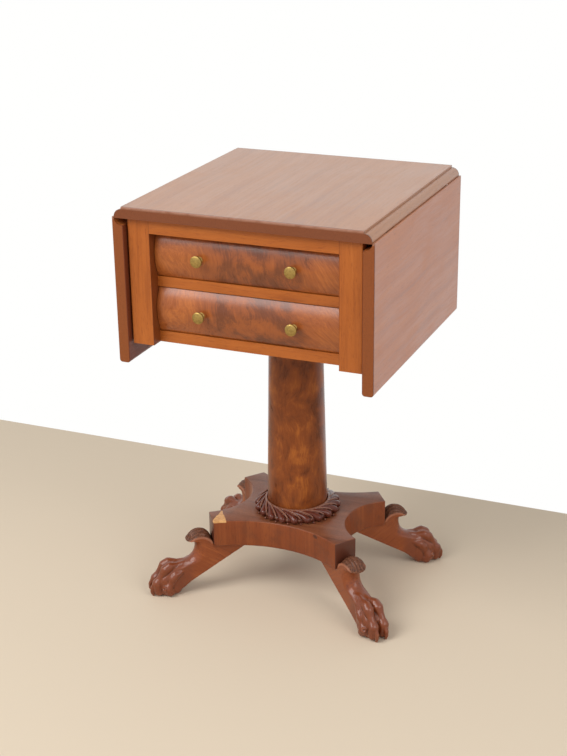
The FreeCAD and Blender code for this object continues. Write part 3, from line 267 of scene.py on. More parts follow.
platform_finish, tree, shader, place = begin("platform_veneer")
turned = node(tree, "Mapping", {"Vector": place, "Rotation": ALONG_Z}).outputs["Vector"]
edge_wood = placed(tree, plain_grain, {
    "Place": turned, "Light": colour(0.27, 0.068, 0.016), "Middle": colour(0.215, 0.048, 0.011),
    "Dark": colour(0.14, 0.029, 0.008)})
turned = node(tree, "Mapping", {"Vector": place, "Rotation": ALONG_X}).outputs["Vector"]
top_wood = placed(tree, plain_grain, {
    "Place": turned, "Light": colour(0.25, 0.090, 0.039), "Middle": colour(0.20, 0.063, 0.026),
    "Dark": colour(0.135, 0.040, 0.016)})
axes = node(tree, "SeparateXYZ", {0: place}).outputs
reach = maths(tree, "ADD",
              maths(tree, "MULTIPLY", maths(tree, "ABSOLUTE", axes["X"]), math.cos(LEG_ANGLE)),
              maths(tree, "MULTIPLY", maths(tree, "ABSOLUTE", axes["Y"]), math.sin(LEG_ANGLE)))
# The cut-off corner faces are painted darker: painted shade.
corner_face = between(tree, reach, CORNER_REACH - 1.0 * MM, CORNER_REACH - 0.4 * MM)
tone = mixed(tree, corner_face, edge_wood["Colour"], colour(0.105, 0.028, 0.014))
top_face = between(tree, axes["Z"], platform_high.z - 0.9 * MM, platform_high.z - 0.4 * MM)
tone = mixed(tree, top_face, tone, top_wood["Colour"])
grime = between(tree, noise(tree, place, 38.0, 4.0, 0.6), 0.45, 0.75, 0.0, 0.35)
tone = mixed(tree, grime, tone, colour(0.07, 0.025, 0.015))
ragged = between(tree, noise(tree, place, 110.0, 4.0), 0.3, 0.7, -0.7 * MM, 0.7 * MM)
chip = None
for start, end in zip(CHIP_CORNERS, CHIP_CORNERS[1:] + CHIP_CORNERS[:1]):
    inward = Vector((start[1] - end[1], end[0] - start[0], 0)).normalized()
    offset = inward.dot(Vector((*start, 0))) * MM
    inside = node(tree, "VectorMath", {0: place, 1: inward}, operation="DOT_PRODUCT").outputs["Value"]
    inside = maths(tree, "SUBTRACT", inside, offset)
    chip = inside if chip is None else maths(tree, "MINIMUM", chip, inside)
chip = between(tree, maths(tree, "ADD", chip, ragged), 0.0, 0.5 * MM)
chip_floor = platform_high.z - CHIP_DEEP
chip = maths(tree, "MULTIPLY", chip, between(tree, axes["Z"], chip_floor, chip_floor + CHIP_SOFT))
torn = noise(tree, place, 260.0, 4.0, 0.6, stretch=(0.4, 1, 1))
bare_wood = mixed(tree, between(tree, torn, 0.3, 0.7), colour(0.76, 0.43, 0.17), colour(0.50, 0.23, 0.075))
tone = mixed(tree, chip, tone, bare_wood)
from_knock = node(tree, "VectorMath", {0: place, 1: KNOCK}, operation="SUBTRACT").outputs[0]
from_knock = node(tree, "VectorMath", {0: from_knock, 1: KNOCK_SHAPE}, operation="MULTIPLY").outputs[0]
to_knock = node(tree, "VectorMath", {0: from_knock}, operation="LENGTH").outputs["Value"]
to_knock = maths(tree, "ADD", to_knock, maths(tree, "MULTIPLY", ragged, 2.0))
knock = between(tree, to_knock, KNOCK_OUTER, KNOCK_INNER)
tone = mixed(tree, maths(tree, "MULTIPLY", knock, 0.75), tone, colour(0.05, 0.016, 0.009))
hollows = maths(tree, "MULTIPLY", maths(tree, "MAXIMUM", chip, knock), 4.0)
height = maths(tree, "SUBTRACT", edge_wood["Height"], hollows)
surface(
    tree, shader, tone, edge_wood["Roughness"], height, depth=0.15 * MM, polish=0.1, polish_rough=0.3)

bm = bmesh.new()
platform_corners = []
for number, angle in enumerate(leg_turns.values()):
    along = Vector((math.cos(angle), math.sin(angle), 0))
    across = Vector((-math.sin(angle), math.cos(angle), 0)) * CORNER_WIDE / 2
    middle = along * CORNER_REACH + Vector((0, 0, platform_low.z))
    hollow = abs((middle + across).y) - FRONT_WAIST
    if number % 2 == 0:
        hollow = abs((middle + across).x) - SIDE_WAIST
    platform_corners += [(middle - across, 0), (middle + across, hollow)]
sawn_board(bm, platform_corners, Vector((0, 0, platform_high.z - platform_low.z)))
ease_edges(bm, PLATFORM_EASE)
settle("platform_board", bm, platform_finish, ["platform"])

# Legs
# Each is a solid mahogany bracket that rolls over at the top under a fluted shell and is carved below into
# a lion's paw with four toes. They are glued and dowelled to the platform's corners.
LEG_THICK = 34 * MM
LEG_END = 158.6 * MM
LEG_LAYERS = 9
LEG_VOXEL = 1.0 * MM
NECK_ROUND = 26 * MM
HEEL_ROUND = 8 * MM
CURL_CENTRE = Vector((181.8, 0, 83.7)) * MM
CURL_RADIUS = 24.0 * MM
CURL_FIRST_TURN = math.radians(165)
CURL_LAST_TURN = math.radians(57)
LIP_RADIUS = 1.7 * MM
LIP_INSET = 1 * MM
SHELL_CENTRE = Vector((181.3, 0, 97.6)) * MM
SHELL_RADIUS = 20.6 * MM
SHELL_EDGE_RADIUS = 10 * MM
SHELL_STRETCH = 1.17
SHELL_LOW = 100.5 * MM
SHELL_FOOT = 92 * MM
PAW_FROM = 190 * MM
PAW_FULL = 206 * MM
LEG_GRAIN = (0, math.radians(33), 0)
LOW_GLEAM = 0.15
# How far off the middle of the leg each flute runs, in mm
FLUTE_SPOTS = [-14.6, -10.6, -5.5, 0, 5.5, 10.6, 14.6]
FLUTE_THICK = 2.6 * MM
FLUTE_PROUD = 0.4 * MM
FLUTE_END = math.radians(12)
FLUTE_FAN = math.radians(18)
BEND_STEPS = 12
BARREL_STEPS = 16
BARREL_SIDES = 64
BARREL_INSET = 2 * MM
# A joint of a toe is (out from the axis, off the middle, above the floor, radius), in mm
middle_toe = [
    (208, 4.0, 57.0, 5.0), (223, 6.6, 55.0, 5.2), (238, 8.8, 54.6, 8.8), (245.5, 9.4, 49.8, 9.4),
    (252, 9.8, 41.0, 6.6), (256.5, 10.0, 33, 6.8), (261.5, 10.0, 24.5, 9.6), (259.5, 9.8, 8.6, 8.8),
]
middle_claw = [(267, 9.8, 24, 4.0), (271.2, 9.6, 15.5, 4.0), (271.4, 9.4, 8, 3.4), (269.4, 9.2, 2.2, 2.4)]
outer_toe = [
    (206, 10.5, 50, 4.6), (218, 13.8, 44.5, 5.0), (229, 16.2, 39.5, 8.0), (234.5, 17.0, 33.5, 8.2),
    (238.5, 17.4, 25.5, 6.4), (244, 17.8, 15.5, 9.6), (240, 17.4, 8.6, 8.8),
]
paw_core = [
    (208, 0, 50, 12.5), (226, 6.5, 45.5, 12), (226, -6.5, 45.5, 12), (248, 9, 30, 11.5), (248, -9, 30, 11.5),
    (229, 8, 11.5, 12.5), (229, -8, 11.5, 12.5), (247, 10, 9.5, 10.5), (247, -10, 9.5, 10.5),
]
shell_rim = [(197.6, 14.5, 102.2), (201.8, 10.5, 101.6), (204.4, 5, 101.2), (205, 0, 101)]
pad_ring = Vector((251.2, 23.0, 18.8)) * MM
PAD_RING_RADIUS = 3.4 * MM
PAD_RING_THICK = 1.5 * MM
PAD_RING_STEPS = 10
PAD_FACING = Vector((0.75, 0.55, 0.35))
LEG_RUBS = 2
LEG_RELIEF_RUBS = 14

ball = bmesh.new()
bmesh.ops.create_icosphere(ball, subdivisions=2, radius=1.0)
ball_points = [point.co.copy() for point in ball.verts]
ball.free()


def hull_of(bm, balls):
    """A skin drawn tight round balls, each (place, radius)."""
    points = [bm.verts.new(middle + way * radius) for middle, radius in balls for way in ball_points]
    hull = bmesh.ops.convex_hull(bm, input=points)
    inner = hull["geom_interior"] + hull["geom_unused"]
    spare = {part for part in inner if isinstance(part, bmesh.types.BMVert)}
    bmesh.ops.delete(bm, geom=list(spare), context="VERTS")


def turned_piece(bm, profile, sides):
    """A piece turned on a lathe about Z, from (radius, height) points of its outline."""
    points = [bm.verts.new((radius, 0, height)) for radius, height in profile]
    edges = [bm.edges.new(pair) for pair in zip(points, points[1:])]
    bmesh.ops.spin(
        bm, geom=points + edges, cent=(0, 0, 0), axis=(0, 0, 1), dvec=(0, 0, 0), angle=2 * math.pi,
        steps=sides, use_merge=True, use_duplicate=False)
    bmesh.ops.remove_doubles(bm, verts=bm.verts, dist=TOUCH)
    bmesh.ops.recalc_face_normals(bm, faces=bm.faces)


def add_to(bm, other):
    """Put one mesh into another."""
    mesh = bpy.data.meshes.new("loose")
    other.to_mesh(mesh)
    other.free()
    bm.from_mesh(mesh)
    bpy.data.meshes.remove(mesh)


def limb(bm, joints):
    """Round-ended lengths from joint to joint, each joint (place, radius)."""
    for pair in zip(joints, joints[1:]):
        hull_of(bm, pair)


def in_metres(rows, side=1):
    """Joints that were given in mm, on one side of the middle."""
    return [(Vector((out, side * off, up)) * MM, radius * MM) for out, off, up, radius in rows]


def melted(bm, voxel, rubs):
    """Overlapping solids melted into one skin and rubbed smooth."""
    mesh = bpy.data.meshes.new("melt")
    bm.to_mesh(mesh)
    bm.free()
    blank = bpy.data.objects.new("melt", mesh)
    bpy.context.scene.collection.objects.link(blank)
    melt = blank.modifiers.new("melt", "REMESH")
    melt.mode = "VOXEL"
    melt.voxel_size = voxel
    skin = bpy.data.meshes.new_from_object(blank.evaluated_get(bpy.context.evaluated_depsgraph_get()))
    bpy.data.objects.remove(blank)
    bm = bmesh.new()
    bm.from_mesh(skin)
    rub(bm, rubs)
    return bm


def rub(bm, times):
    """Even the surface out."""
    for _ in range(times):
        bmesh.ops.smooth_vert(
            bm, verts=bm.verts, factor=0.5, use_axis_x=True, use_axis_y=True, use_axis_z=True)


def saw_off(bm, spot, out):
    """Saw off what lies beyond a plane and close the cut."""
    whole = bm.verts[:] + bm.edges[:] + bm.faces[:]
    cut = bmesh.ops.bisect_plane(
        bm, geom=whole, dist=TOUCH, plane_co=spot, plane_no=out, clear_outer=True)
    rim = [part for part in cut["geom_cut"] if isinstance(part, bmesh.types.BMEdge)]
    bmesh.ops.edgeloop_fill(bm, edges=rim)


def mark_relief(bm, rubs):
    """Keep with each point how far it stands proud of the evened-out surface, for wear and dust, and for the
    painted highlights and shade that follow the relief.
    """
    evened = bm.copy()
    rub(evened, rubs)
    evened.verts.ensure_lookup_table()
    bm.normal_update()
    proud = bm.verts.layers.float.new("proud")
    for point, even in zip(bm.verts, evened.verts):
        point[proud] = (point.co - even.co).dot(point.normal) / MM
    evened.free()


def carving_wear_and_light():
    """Where a carved surface is paler on proud points, from wear and a painted highlight, and darker in
    hollows, from polish, dust and painted shade.
    """
    tree, given, out = group_of(
        "carving_wear_and_light", [("Proud", "Float"), ("Place", "Vector")], [("WearAndHighlight", "Float"), ("DustAndShade", "Float")])
    patch = noise(tree, given["Place"], 90.0, 3.0, 0.6)
    wear_and_highlight = maths(tree, "ADD", given["Proud"], between(tree, patch, 0.3, 0.7, -0.25, 0.2))
    tree.links.new(between(tree, wear_and_highlight, 0.25, 0.95), out["WearAndHighlight"])
    dust_and_shade = maths(tree, "ADD", given["Proud"], between(tree, patch, 0.3, 0.7, -0.15, 0.15))
    tree.links.new(between(tree, dust_and_shade, -0.1, -0.75), out["DustAndShade"])
    return tree


carving_light_marks = carving_wear_and_light()
leg_finish, tree, shader, place = begin("carved_leg")
leg_place = node(tree, "Attribute", attribute_name="leg_place").outputs["Vector"]
proud = node(tree, "Attribute", attribute_name="proud").outputs["Fac"]
turned = node(tree, "Mapping", {"Vector": leg_place, "Rotation": LEG_GRAIN}).outputs["Vector"]
leg_wood = placed(tree, plain_grain, {
    "Place": turned, "Light": colour(0.32, 0.080, 0.018), "Middle": colour(0.245, 0.055, 0.012),
    "Dark": colour(0.16, 0.033, 0.008)})
axes = node(tree, "SeparateXYZ", {0: leg_place}).outputs
flat_place = node(tree, "CombineXYZ", {"X": axes["X"], "Z": axes["Z"]}).outputs[0]
off_curl = node(tree, "VectorMath", {0: flat_place, 1: CURL_CENTRE}, operation="DISTANCE").outputs["Value"]
shell_part = between(tree, off_curl, CURL_RADIUS + 0.4 * MM, CURL_RADIUS + 1.4 * MM)
shell_part = maths(tree, "MULTIPLY", shell_part, between(tree, axes["Z"], SHELL_FOOT, SHELL_FOOT + 3 * MM))
paw_part = between(tree, axes["X"], PAW_FROM, PAW_FULL)
tone = mixed(tree, maths(tree, "MULTIPLY", paw_part, 0.75), leg_wood["Colour"], colour(0.18, 0.044, 0.017))
grit = between(tree, noise(tree, leg_place, 420.0, 3.0, 0.6), 0.35, 0.65)
shell_tone = mixed(tree, grit, colour(0.062, 0.024, 0.013), colour(0.17, 0.066, 0.034))
tone = mixed(tree, maths(tree, "MULTIPLY", shell_part, 0.92), tone, shell_tone)
wear_and_light = placed(tree, carving_light_marks, {"Proud": proud, "Place": leg_place})
# Proud points paler: wear, with a painted highlight on them.
tone = mixed(tree, maths(tree, "MULTIPLY", wear_and_light["WearAndHighlight"], 0.5), tone, colour(0.42, 0.15, 0.065))
lip_line = maths(tree, "ABSOLUTE", maths(tree, "SUBTRACT", off_curl, CURL_RADIUS))
lip_line = between(tree, lip_line, 2.6 * MM, 1.4 * MM)
above = between(tree, axes["Z"], SHELL_FOOT + 1 * MM, SHELL_FOOT + 4 * MM)
beside = between(tree, maths(tree, "ABSOLUTE", axes["Y"]), 13.5 * MM, 15 * MM)
lip_line = maths(tree, "MULTIPLY", maths(tree, "MULTIPLY", lip_line, above), beside)
tone = mixed(tree, maths(tree, "MULTIPLY", lip_line, 0.6), tone, colour(0.40, 0.155, 0.085))
# Hollows darker: dust, with painted shade in them.
tone = mixed(tree, maths(tree, "MULTIPLY", wear_and_light["DustAndShade"], 0.85), tone, colour(0.03, 0.010, 0.006))
grime = maths(tree, "MAXIMUM", wear_and_light["DustAndShade"], shell_part)
rough = maths(tree, "ADD", leg_wood["Roughness"], maths(tree, "MULTIPLY", grime, 0.25))
polish = between(tree, shell_part, 0.0, 1.0, 0.55, 0.2)
surface(
    tree, shader, tone, rough, leg_wood["Height"], depth=0.12 * MM, polish=polish, polish_rough=0.13,
    gleam=LOW_GLEAM)


def shell_radius(off):
    """The radius of the shell so far off the middle of the leg."""
    rise = SHELL_RADIUS - SHELL_EDGE_RADIUS
    bow = (LEG_THICK ** 2 / 4 + rise ** 2) / (2 * rise)
    return SHELL_RADIUS - bow + math.sqrt(bow ** 2 - off ** 2)


def on_circle(centre, radius, turn, off):
    """A point of an upright circle that stands so far off the middle of the leg."""
    return centre + Vector((radius * math.cos(turn), off, radius * math.sin(turn)))


bm = bmesh.new()
for layer in range(1, LEG_LAYERS + 1):
    turn = math.pi / 2 * layer / LEG_LAYERS
    half_thick = Vector((0, LEG_THICK / 2 * math.sin(turn), 0))
    back_off = NECK_ROUND * (1 - math.cos(turn))
    lift = HEEL_ROUND * (1 - math.cos(turn))
    outline = [
        (Vector((90, 0, 90)) * MM, 0),
        (Vector((LEG_END, 0, 90 * MM)), 0),
        (Vector((LEG_END, 0, 92 * MM)), 8 * MM),
        (Vector((195 * MM - back_off / 2, 0, 104 * MM)), -12 * MM),
        (Vector((212 * MM - back_off, 0, 61 * MM)), 0),
        (Vector((230, 0, 48)) * MM, 0),
        (Vector((244 * MM, 0, lift - 2 * MM)), 0),
        (Vector((229 * MM, 0, lift - 1 * MM)), 0),
        (Vector((213 * MM, 0, lift + 9 * MM)), 0),
        (Vector((198, 0, 26)) * MM, 0),
    ]
    slice_of_leg = bmesh.new()
    sawn_board(slice_of_leg, [(point + half_thick, rise) for point, rise in outline], half_thick * -2)
    add_to(bm, slice_of_leg)
barrel = bmesh.new()
offs = [LEG_THICK * (step / BARREL_STEPS - 0.5) for step in range(BARREL_STEPS + 1)]
barrel_outline = [(0, offs[0])] + [(shell_radius(off) - BARREL_INSET, off) for off in offs] + [(0, offs[-1])]
turned_piece(barrel, barrel_outline, BARREL_SIDES)
bmesh.ops.rotate(barrel, cent=(0, 0, 0), matrix=Matrix.Rotation(math.pi / 2, 3, "X"), verts=barrel.verts)
overhang = [point for point in barrel.verts if point.co.x > 0]
bmesh.ops.scale(barrel, vec=(SHELL_STRETCH, 1, 1), verts=overhang)
bmesh.ops.translate(barrel, verts=barrel.verts, vec=SHELL_CENTRE)
saw_off(barrel, (0, 0, SHELL_LOW), (0, 0, -1))
saw_off(barrel, (LEG_END, 0, 0), (-1, 0, 0))
add_to(bm, barrel)
for flute_spot in FLUTE_SPOTS:
    off = flute_spot * MM
    radius = shell_radius(off) - FLUTE_THICK + FLUTE_PROUD
    first = math.acos(max(-1.0, (LEG_END + FLUTE_THICK - SHELL_CENTRE.x) / radius))
    last = FLUTE_END + FLUTE_FAN * (flute_spot / FLUTE_SPOTS[-1]) ** 2
    flute = []
    for step in range(BEND_STEPS + 1):
        point = on_circle(SHELL_CENTRE, radius, first + (last - first) * step / BEND_STEPS, off)
        point.x += max(0.0, point.x - SHELL_CENTRE.x) * (SHELL_STRETCH - 1)
        flute.append((point, FLUTE_THICK))
    limb(bm, flute)
for side in (-1, 1):
    sweep = CURL_LAST_TURN - CURL_FIRST_TURN
    turns = [CURL_FIRST_TURN + sweep * step / BEND_STEPS for step in range(BEND_STEPS + 1)]
    off = side * (LEG_THICK / 2 - LIP_INSET)
    lip = [on_circle(CURL_CENTRE, CURL_RADIUS, turn, off) for turn in turns]
    lip += [Vector((out, side * off_middle, up)) * MM for out, off_middle, up in shell_rim]
    limb(bm, [(point, LIP_RADIUS) for point in lip])
    for rows in (middle_toe, middle_claw, outer_toe):
        limb(bm, in_metres(rows, side))
    facing = Vector((PAD_FACING.x, side * PAD_FACING.y, PAD_FACING.z)).normalized()
    spoke = facing.cross(Vector((0, 0, 1))).normalized() * PAD_RING_RADIUS
    ring_middle = Vector((pad_ring.x, side * pad_ring.y, pad_ring.z))
    ring = []
    for step in range(PAD_RING_STEPS + 1):
        turning = Matrix.Rotation(2 * math.pi * step / PAD_RING_STEPS, 3, facing)
        ring.append((ring_middle + turning @ spoke, PAD_RING_THICK))
    limb(bm, ring)
hull_of(bm, in_metres(paw_core))
leg = melted(bm, LEG_VOXEL, LEG_RUBS)
saw_off(leg, (0, 0, 0), (0, 0, -1))
mark_relief(leg, LEG_RELIEF_RUBS)
place_layer = leg.verts.layers.float_vector.new("leg_place")
for point in leg.verts:
    point[place_layer] = point.co
for corner, angle in leg_turns.items():
    bm = leg.copy()
    bmesh.ops.rotate(bm, cent=(0, 0, 0), matrix=Matrix.Rotation(angle, 3, "Z"), verts=bm.verts)
    settle(f"{corner}_paw_leg", bm, leg_finish, [f"{corner}_leg"])
leg.free()

# Column
# A softwood core turned to a long taper and covered with one sheet of figured mahogany veneer, its figure
# clouded and upright. It stands on the platform and its tenons are glued top and bottom.
COLUMN_EASE = 3 * MM
COLUMN_SIDES = 112
COLUMN_FIGURE = 1.4
foot_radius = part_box("column")[1].x
head_radius = 46.65 * MM
head_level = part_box("column_cleat")[0].z
foot_level = platform_high.z


def flame_figure():
    """Crotch mahogany: warped blotches, and feathered streaks and fibres along Z, darker where shaded."""
    colours = [("Light", "Color"), ("Middle", "Color"), ("Dark", "Color")]
    shares = [("Swirl", "Float"), ("Cloud", "Float"), ("Streak", "Float"), ("Shade", "Float")]
    tree, given, out = group_of(
        "flame_figure", [("Place", "Vector")] + shares + colours,
        [("Colour", "Color"), ("Roughness", "Float"), ("Height", "Float")])
    swirl = node(tree, "TexNoise", {"Vector": given["Place"], "Scale": 7.0, "Detail": 2.0}).outputs["Color"]
    swirl = node(tree, "VectorMath", {0: swirl, 1: (0.5, 0.5, 0.5)}, operation="SUBTRACT").outputs[0]
    swirl = node(tree, "VectorMath", {0: swirl, "Scale": given["Swirl"]}, operation="SCALE").outputs[0]
    place = node(tree, "VectorMath", {0: given["Place"], 1: swirl}, operation="ADD").outputs[0]
    blotch = noise(tree, place, 24.0, 3.0, 0.5, stretch=(1, 1, 0.75))
    feather = noise(tree, place, 150.0, 4.0, 0.6, stretch=(1, 1, 0.10))
    fibre = noise(tree, place, 520.0, 3.0, 0.55, stretch=(1, 1, 0.045))
    fine = maths(tree, "ADD", maths(tree, "MULTIPLY", feather, 0.55), maths(tree, "MULTIPLY", fibre, 0.45))
    fine = maths(tree, "MULTIPLY", maths(tree, "SUBTRACT", fine, 0.5), given["Streak"])
    blotches = maths(tree, "MULTIPLY", maths(tree, "SUBTRACT", blotch, 0.5), given["Cloud"])
    figure = maths(tree, "ADD", blotches, 0.58)
    figure = maths(tree, "SUBTRACT", maths(tree, "ADD", figure, fine), given["Shade"])
    tone = mixed(tree, between(tree, figure, 0.40, 0.58), given["Dark"], given["Middle"])
    tone = mixed(tree, between(tree, figure, 0.56, 0.76), tone, given["Light"])
    tree.links.new(tone, out["Colour"])
    tree.links.new(between(tree, maths(tree, "ADD", feather, blotch), 0.7, 1.3, 0.26, 0.42), out["Roughness"])
    height = maths(tree, "ADD", maths(tree, "MULTIPLY", feather, 0.3), maths(tree, "MULTIPLY", fibre, 0.5))
    tree.links.new(height, out["Height"])
    return tree


figured = flame_figure()
column_finish, tree, shader, place = begin("column_veneer")
closer = node(tree, "VectorMath", {0: place, "Scale": COLUMN_FIGURE}, operation="SCALE").outputs[0]
veneer = placed(tree, figured, {
    "Place": closer, "Swirl": 0.09, "Cloud": 0.8, "Streak": 0.5, "Shade": 0.03,
    "Light": colour(0.39, 0.114, 0.020), "Middle": colour(0.23, 0.058, 0.0125),
    "Dark": colour(0.135, 0.034, 0.0095)})
surface(
    tree, shader, veneer["Colour"], veneer["Roughness"], veneer["Height"], depth=0.08 * MM, polish=0.2,
    polish_rough=0.3, gleam=LOW_GLEAM)


def rounded(radius, height, ease, steps=6):
    """The points of an outer corner eased to a quarter round, from below upwards."""
    quarter = [math.pi / 2 * step / steps for step in range(steps + 1)]
    middle = radius - ease
    level = height + ease
    return [(middle + ease * math.sin(turn), level - ease * math.cos(turn)) for turn in quarter]


bm = bmesh.new()
column_outline = [(0, foot_level)] + rounded(foot_radius, foot_level, COLUMN_EASE)
column_outline += [(head_radius, head_level), (0, head_level)]
turned_piece(bm, column_outline, COLUMN_SIDES)
settle("column_shaft", bm, column_finish, ["column"])

# Collar
# A ring of solid mahogany carved with slanting pear-shaped lobes and thin fillets between them, polished
# very dark. It is slipped over the column and glued to the platform.
LOBES = 20
LOBE_SLANT = math.radians(23)
COLLAR_VOXEL = 0.75 * MM
collar_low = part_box("column_collar")[0]
# A point of a lobe or fillet is (out from the axis, above the platform, radius, share of the slant), in mm
lobe_points = [
    (70.6, 7.0, 6.8, 0.0), (68.2, 9.6, 6.0, 0.1), (65.2, 12.2, 4.7, 0.27), (62.2, 14.4, 3.6, 0.5),
    (59.4, 16.4, 2.6, 0.76), (57.0, 17.6, 2.0, 1.0),
]
fillet_points = [
    (72.0, 11.2, 1.3, 0.04), (70.0, 13.4, 1.6, 0.12), (67.0, 15.9, 1.7, 0.27), (63.4, 18.1, 1.6, 0.5),
    (60.2, 19.3, 1.5, 0.76), (57.4, 19.8, 1.4, 1.0),
]
# The outline of the core behind them is (radius, above the platform), in mm
collar_core = [
    (54.1, 0), (68, 0), (69.5, 3), (69, 6.5), (65, 10), (59.5, 15.5), (58.6, 19), (57.2, 20.5), (55.4, 20.9),
    (54.1, 20.6), (54.1, 0),
]
# The ring that the fillets run into and the beads at their feet, in mm
INNER_RING = 58.4
BEAD_OUT = 74.2
BEAD_UP = 1.6
BEAD_THICK = 2.3
CORE_SIDES = 88
COLLAR_RUBS = 2
COLLAR_RELIEF_RUBS = 12
FILLET_HALF = 0.24
FILLET_BEND = 1.25
FILLET_FOOT = 5 * MM
FOOT_SHARE = 0.4

collar_finish, tree, shader, place = begin("carved_collar")
proud = node(tree, "Attribute", attribute_name="proud").outputs["Fac"]
wear_and_light = placed(tree, carving_light_marks, {"Proud": proud, "Place": place})
patch = noise(tree, place, 120.0, 4.0, 0.6)
tone = mixed(tree, patch, colour(0.14, 0.030, 0.015), colour(0.075, 0.016, 0.009))
# Proud points paler: wear, with a painted highlight on them.
tone = mixed(tree, maths(tree, "MULTIPLY", wear_and_light["WearAndHighlight"], 0.25), tone, colour(0.30, 0.10, 0.055))
fillet = node(tree, "Attribute", attribute_name="fillet").outputs["Fac"]
fillet = maths(tree, "ADD", fillet, between(tree, patch, 0.3, 0.7, -0.1, 0.1))
tone = mixed(tree, between(tree, fillet, 0.15, 0.65, 0.0, 0.75), tone, colour(0.27, 0.12, 0.075))
# Hollows darker: dust, with painted shade in them.
tone = mixed(tree, maths(tree, "MULTIPLY", wear_and_light["DustAndShade"], 0.8), tone, colour(0.018, 0.008, 0.006))
rough = between(tree, patch, 0.3, 0.7, 0.20, 0.34)
rough = maths(tree, "ADD", rough, maths(tree, "MULTIPLY", wear_and_light["DustAndShade"], 0.3))
surface(
    tree, shader, tone, rough, noise(tree, place, 600.0, 3.0), depth=0.08 * MM, polish=0.35,
    polish_rough=0.14, gleam=LOW_GLEAM)

bm = bmesh.new()
turned_piece(bm, [(radius * MM, collar_low.z + height * MM) for radius, height in collar_core], CORE_SIDES)
for number in range(LOBES):
    for points, step in ((lobe_points, 0.0), (fillet_points, 0.5)):
        joints = []
        for out, up, radius, share in points:
            angle = 2 * math.pi * (number + step) / LOBES - LOBE_SLANT * share
            joint = Vector((out * math.cos(angle), out * math.sin(angle), up)) * MM
            joints.append((joint + Vector((0, 0, collar_low.z)), radius * MM))
        limb(bm, joints)
    angle = 2 * math.pi * (number + 0.5) / LOBES
    bead = Vector((BEAD_OUT * math.cos(angle), BEAD_OUT * math.sin(angle), BEAD_UP)) * MM
    hull_of(bm, [(bead + Vector((0, 0, collar_low.z)), BEAD_THICK * MM)])
bm = melted(bm, COLLAR_VOXEL, COLLAR_RUBS)
saw_off(bm, (0, 0, collar_low.z), (0, 0, -1))
mark_relief(bm, COLLAR_RELIEF_RUBS)
fillet_layer = bm.verts.layers.float.new("fillet")
run = fillet_points[0][0] - fillet_points[-1][0]
for point in bm.verts:
    out = math.hypot(point.co.x, point.co.y) / MM
    share = min(1.0, max(0.0, (fillet_points[0][0] - out) / run)) ** FILLET_BEND
    turn = (math.atan2(point.co.y, point.co.x) + LOBE_SLANT * share) * LOBES / (2 * math.pi)
    point[fillet_layer] = 1.0 if out < INNER_RING else 1 - abs(turn % 1 - 0.5) / FILLET_HALF
    if point.co.z < collar_low.z + FILLET_FOOT:
        point[fillet_layer] *= FOOT_SHARE
settle("collar_lobes", bm, collar_finish, ["column_collar"])

# Case
# Square posts with tenoned rails in front and tongued panels at the sides and back, in plain orange-brown
# mahogany with a thin polish. The floor, the cleat and the drawer ways inside are bare secondary wood.
case_colours = (colour(0.47, 0.137, 0.022), colour(0.41, 0.110, 0.016), colour(0.31, 0.076, 0.011))
bare_colours = (colour(0.58, 0.42, 0.25), colour(0.50, 0.34, 0.19), colour(0.40, 0.25, 0.13))


def board_finish(name, grain, colours, shift=(0, 0, 0), polish=0.1, reveal=None):
    """Straight-grained wood with its grain along one axis and a little grime in patches. A face that looks
    inwards, which lies as far off the middle as reveal, and a thin strip along its arris are painted dark:
    painted shade."""
    finish, tree, shader, place = begin(name)
    turned = node(tree, "Mapping", {"Vector": place, "Rotation": grain, "Location": shift}).outputs["Vector"]
    light, middle, dark = colours
    wood = placed(tree, plain_grain, {"Place": turned, "Light": light, "Middle": middle, "Dark": dark})
    grime = between(tree, noise(tree, place, 26.0, 4.0, 0.62), 0.52, 0.78, 0.0, 0.30)
    tone = mixed(tree, grime, wood["Colour"], dark)
    if reveal is not None:
        off_middle = maths(tree, "ABSOLUTE", node(tree, "SeparateXYZ", {0: place}).outputs["X"])
        # Painted shade on the inward face, and a painted shadow line along its arris.
        painted_reveal_shade = between(tree, off_middle, reveal + 1.0 * MM, reveal + 0.3 * MM, 0.0, 0.75)
        tone = mixed(tree, painted_reveal_shade, tone, colour(0.11, 0.022, 0.006))
    surface(
        tree, shader, tone, wood["Roughness"], wood["Height"], depth=0.12 * MM, polish=polish,
        polish_rough=0.3)
    return finish


def dress(finish, *names):
    """Give nodes of the frame a finish."""
    for name in names:
        frame["nodes"][name].data.materials.clear()
        frame["nodes"][name].data.materials.append(finish)


for number, post in enumerate(("front_left_post", "front_right_post", "rear_left_post", "rear_right_post")):
    reveal = min(abs(corner.x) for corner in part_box(post))
    dress(board_finish(f"{post}_wood", ALONG_Z, case_colours, (0.3 * number, 0.1, 0), reveal=reveal), post)
for number, rail in enumerate(("top_rail", "drawer_divider", "bottom_rail", "back_panel")):
    dress(board_finish(f"{rail}_wood", ALONG_X, case_colours, (0.2 * number, 0.07 * number, 0)), rail)
dress(board_finish("side_wood", ALONG_Y, case_colours), "left_side_panel", "right_side_panel",
      "left_fly_bracket", "right_fly_bracket")

bare_across = board_finish("bare_wood_across", ALONG_X, bare_colours, polish=0.0)
bare_deep = board_finish("bare_wood_deep", ALONG_Y, bare_colours, polish=0.0)
bare_upright = board_finish("bare_wood_upright", ALONG_Z, bare_colours, polish=0.0)
dress(bare_across, "case_floor", "column_cleat", "drawer_stops")
dress(bare_deep, "lower_runners", "upper_runners", "drawer_guides", "drawer_kickers")
dress(bare_upright, "leg_dowels")

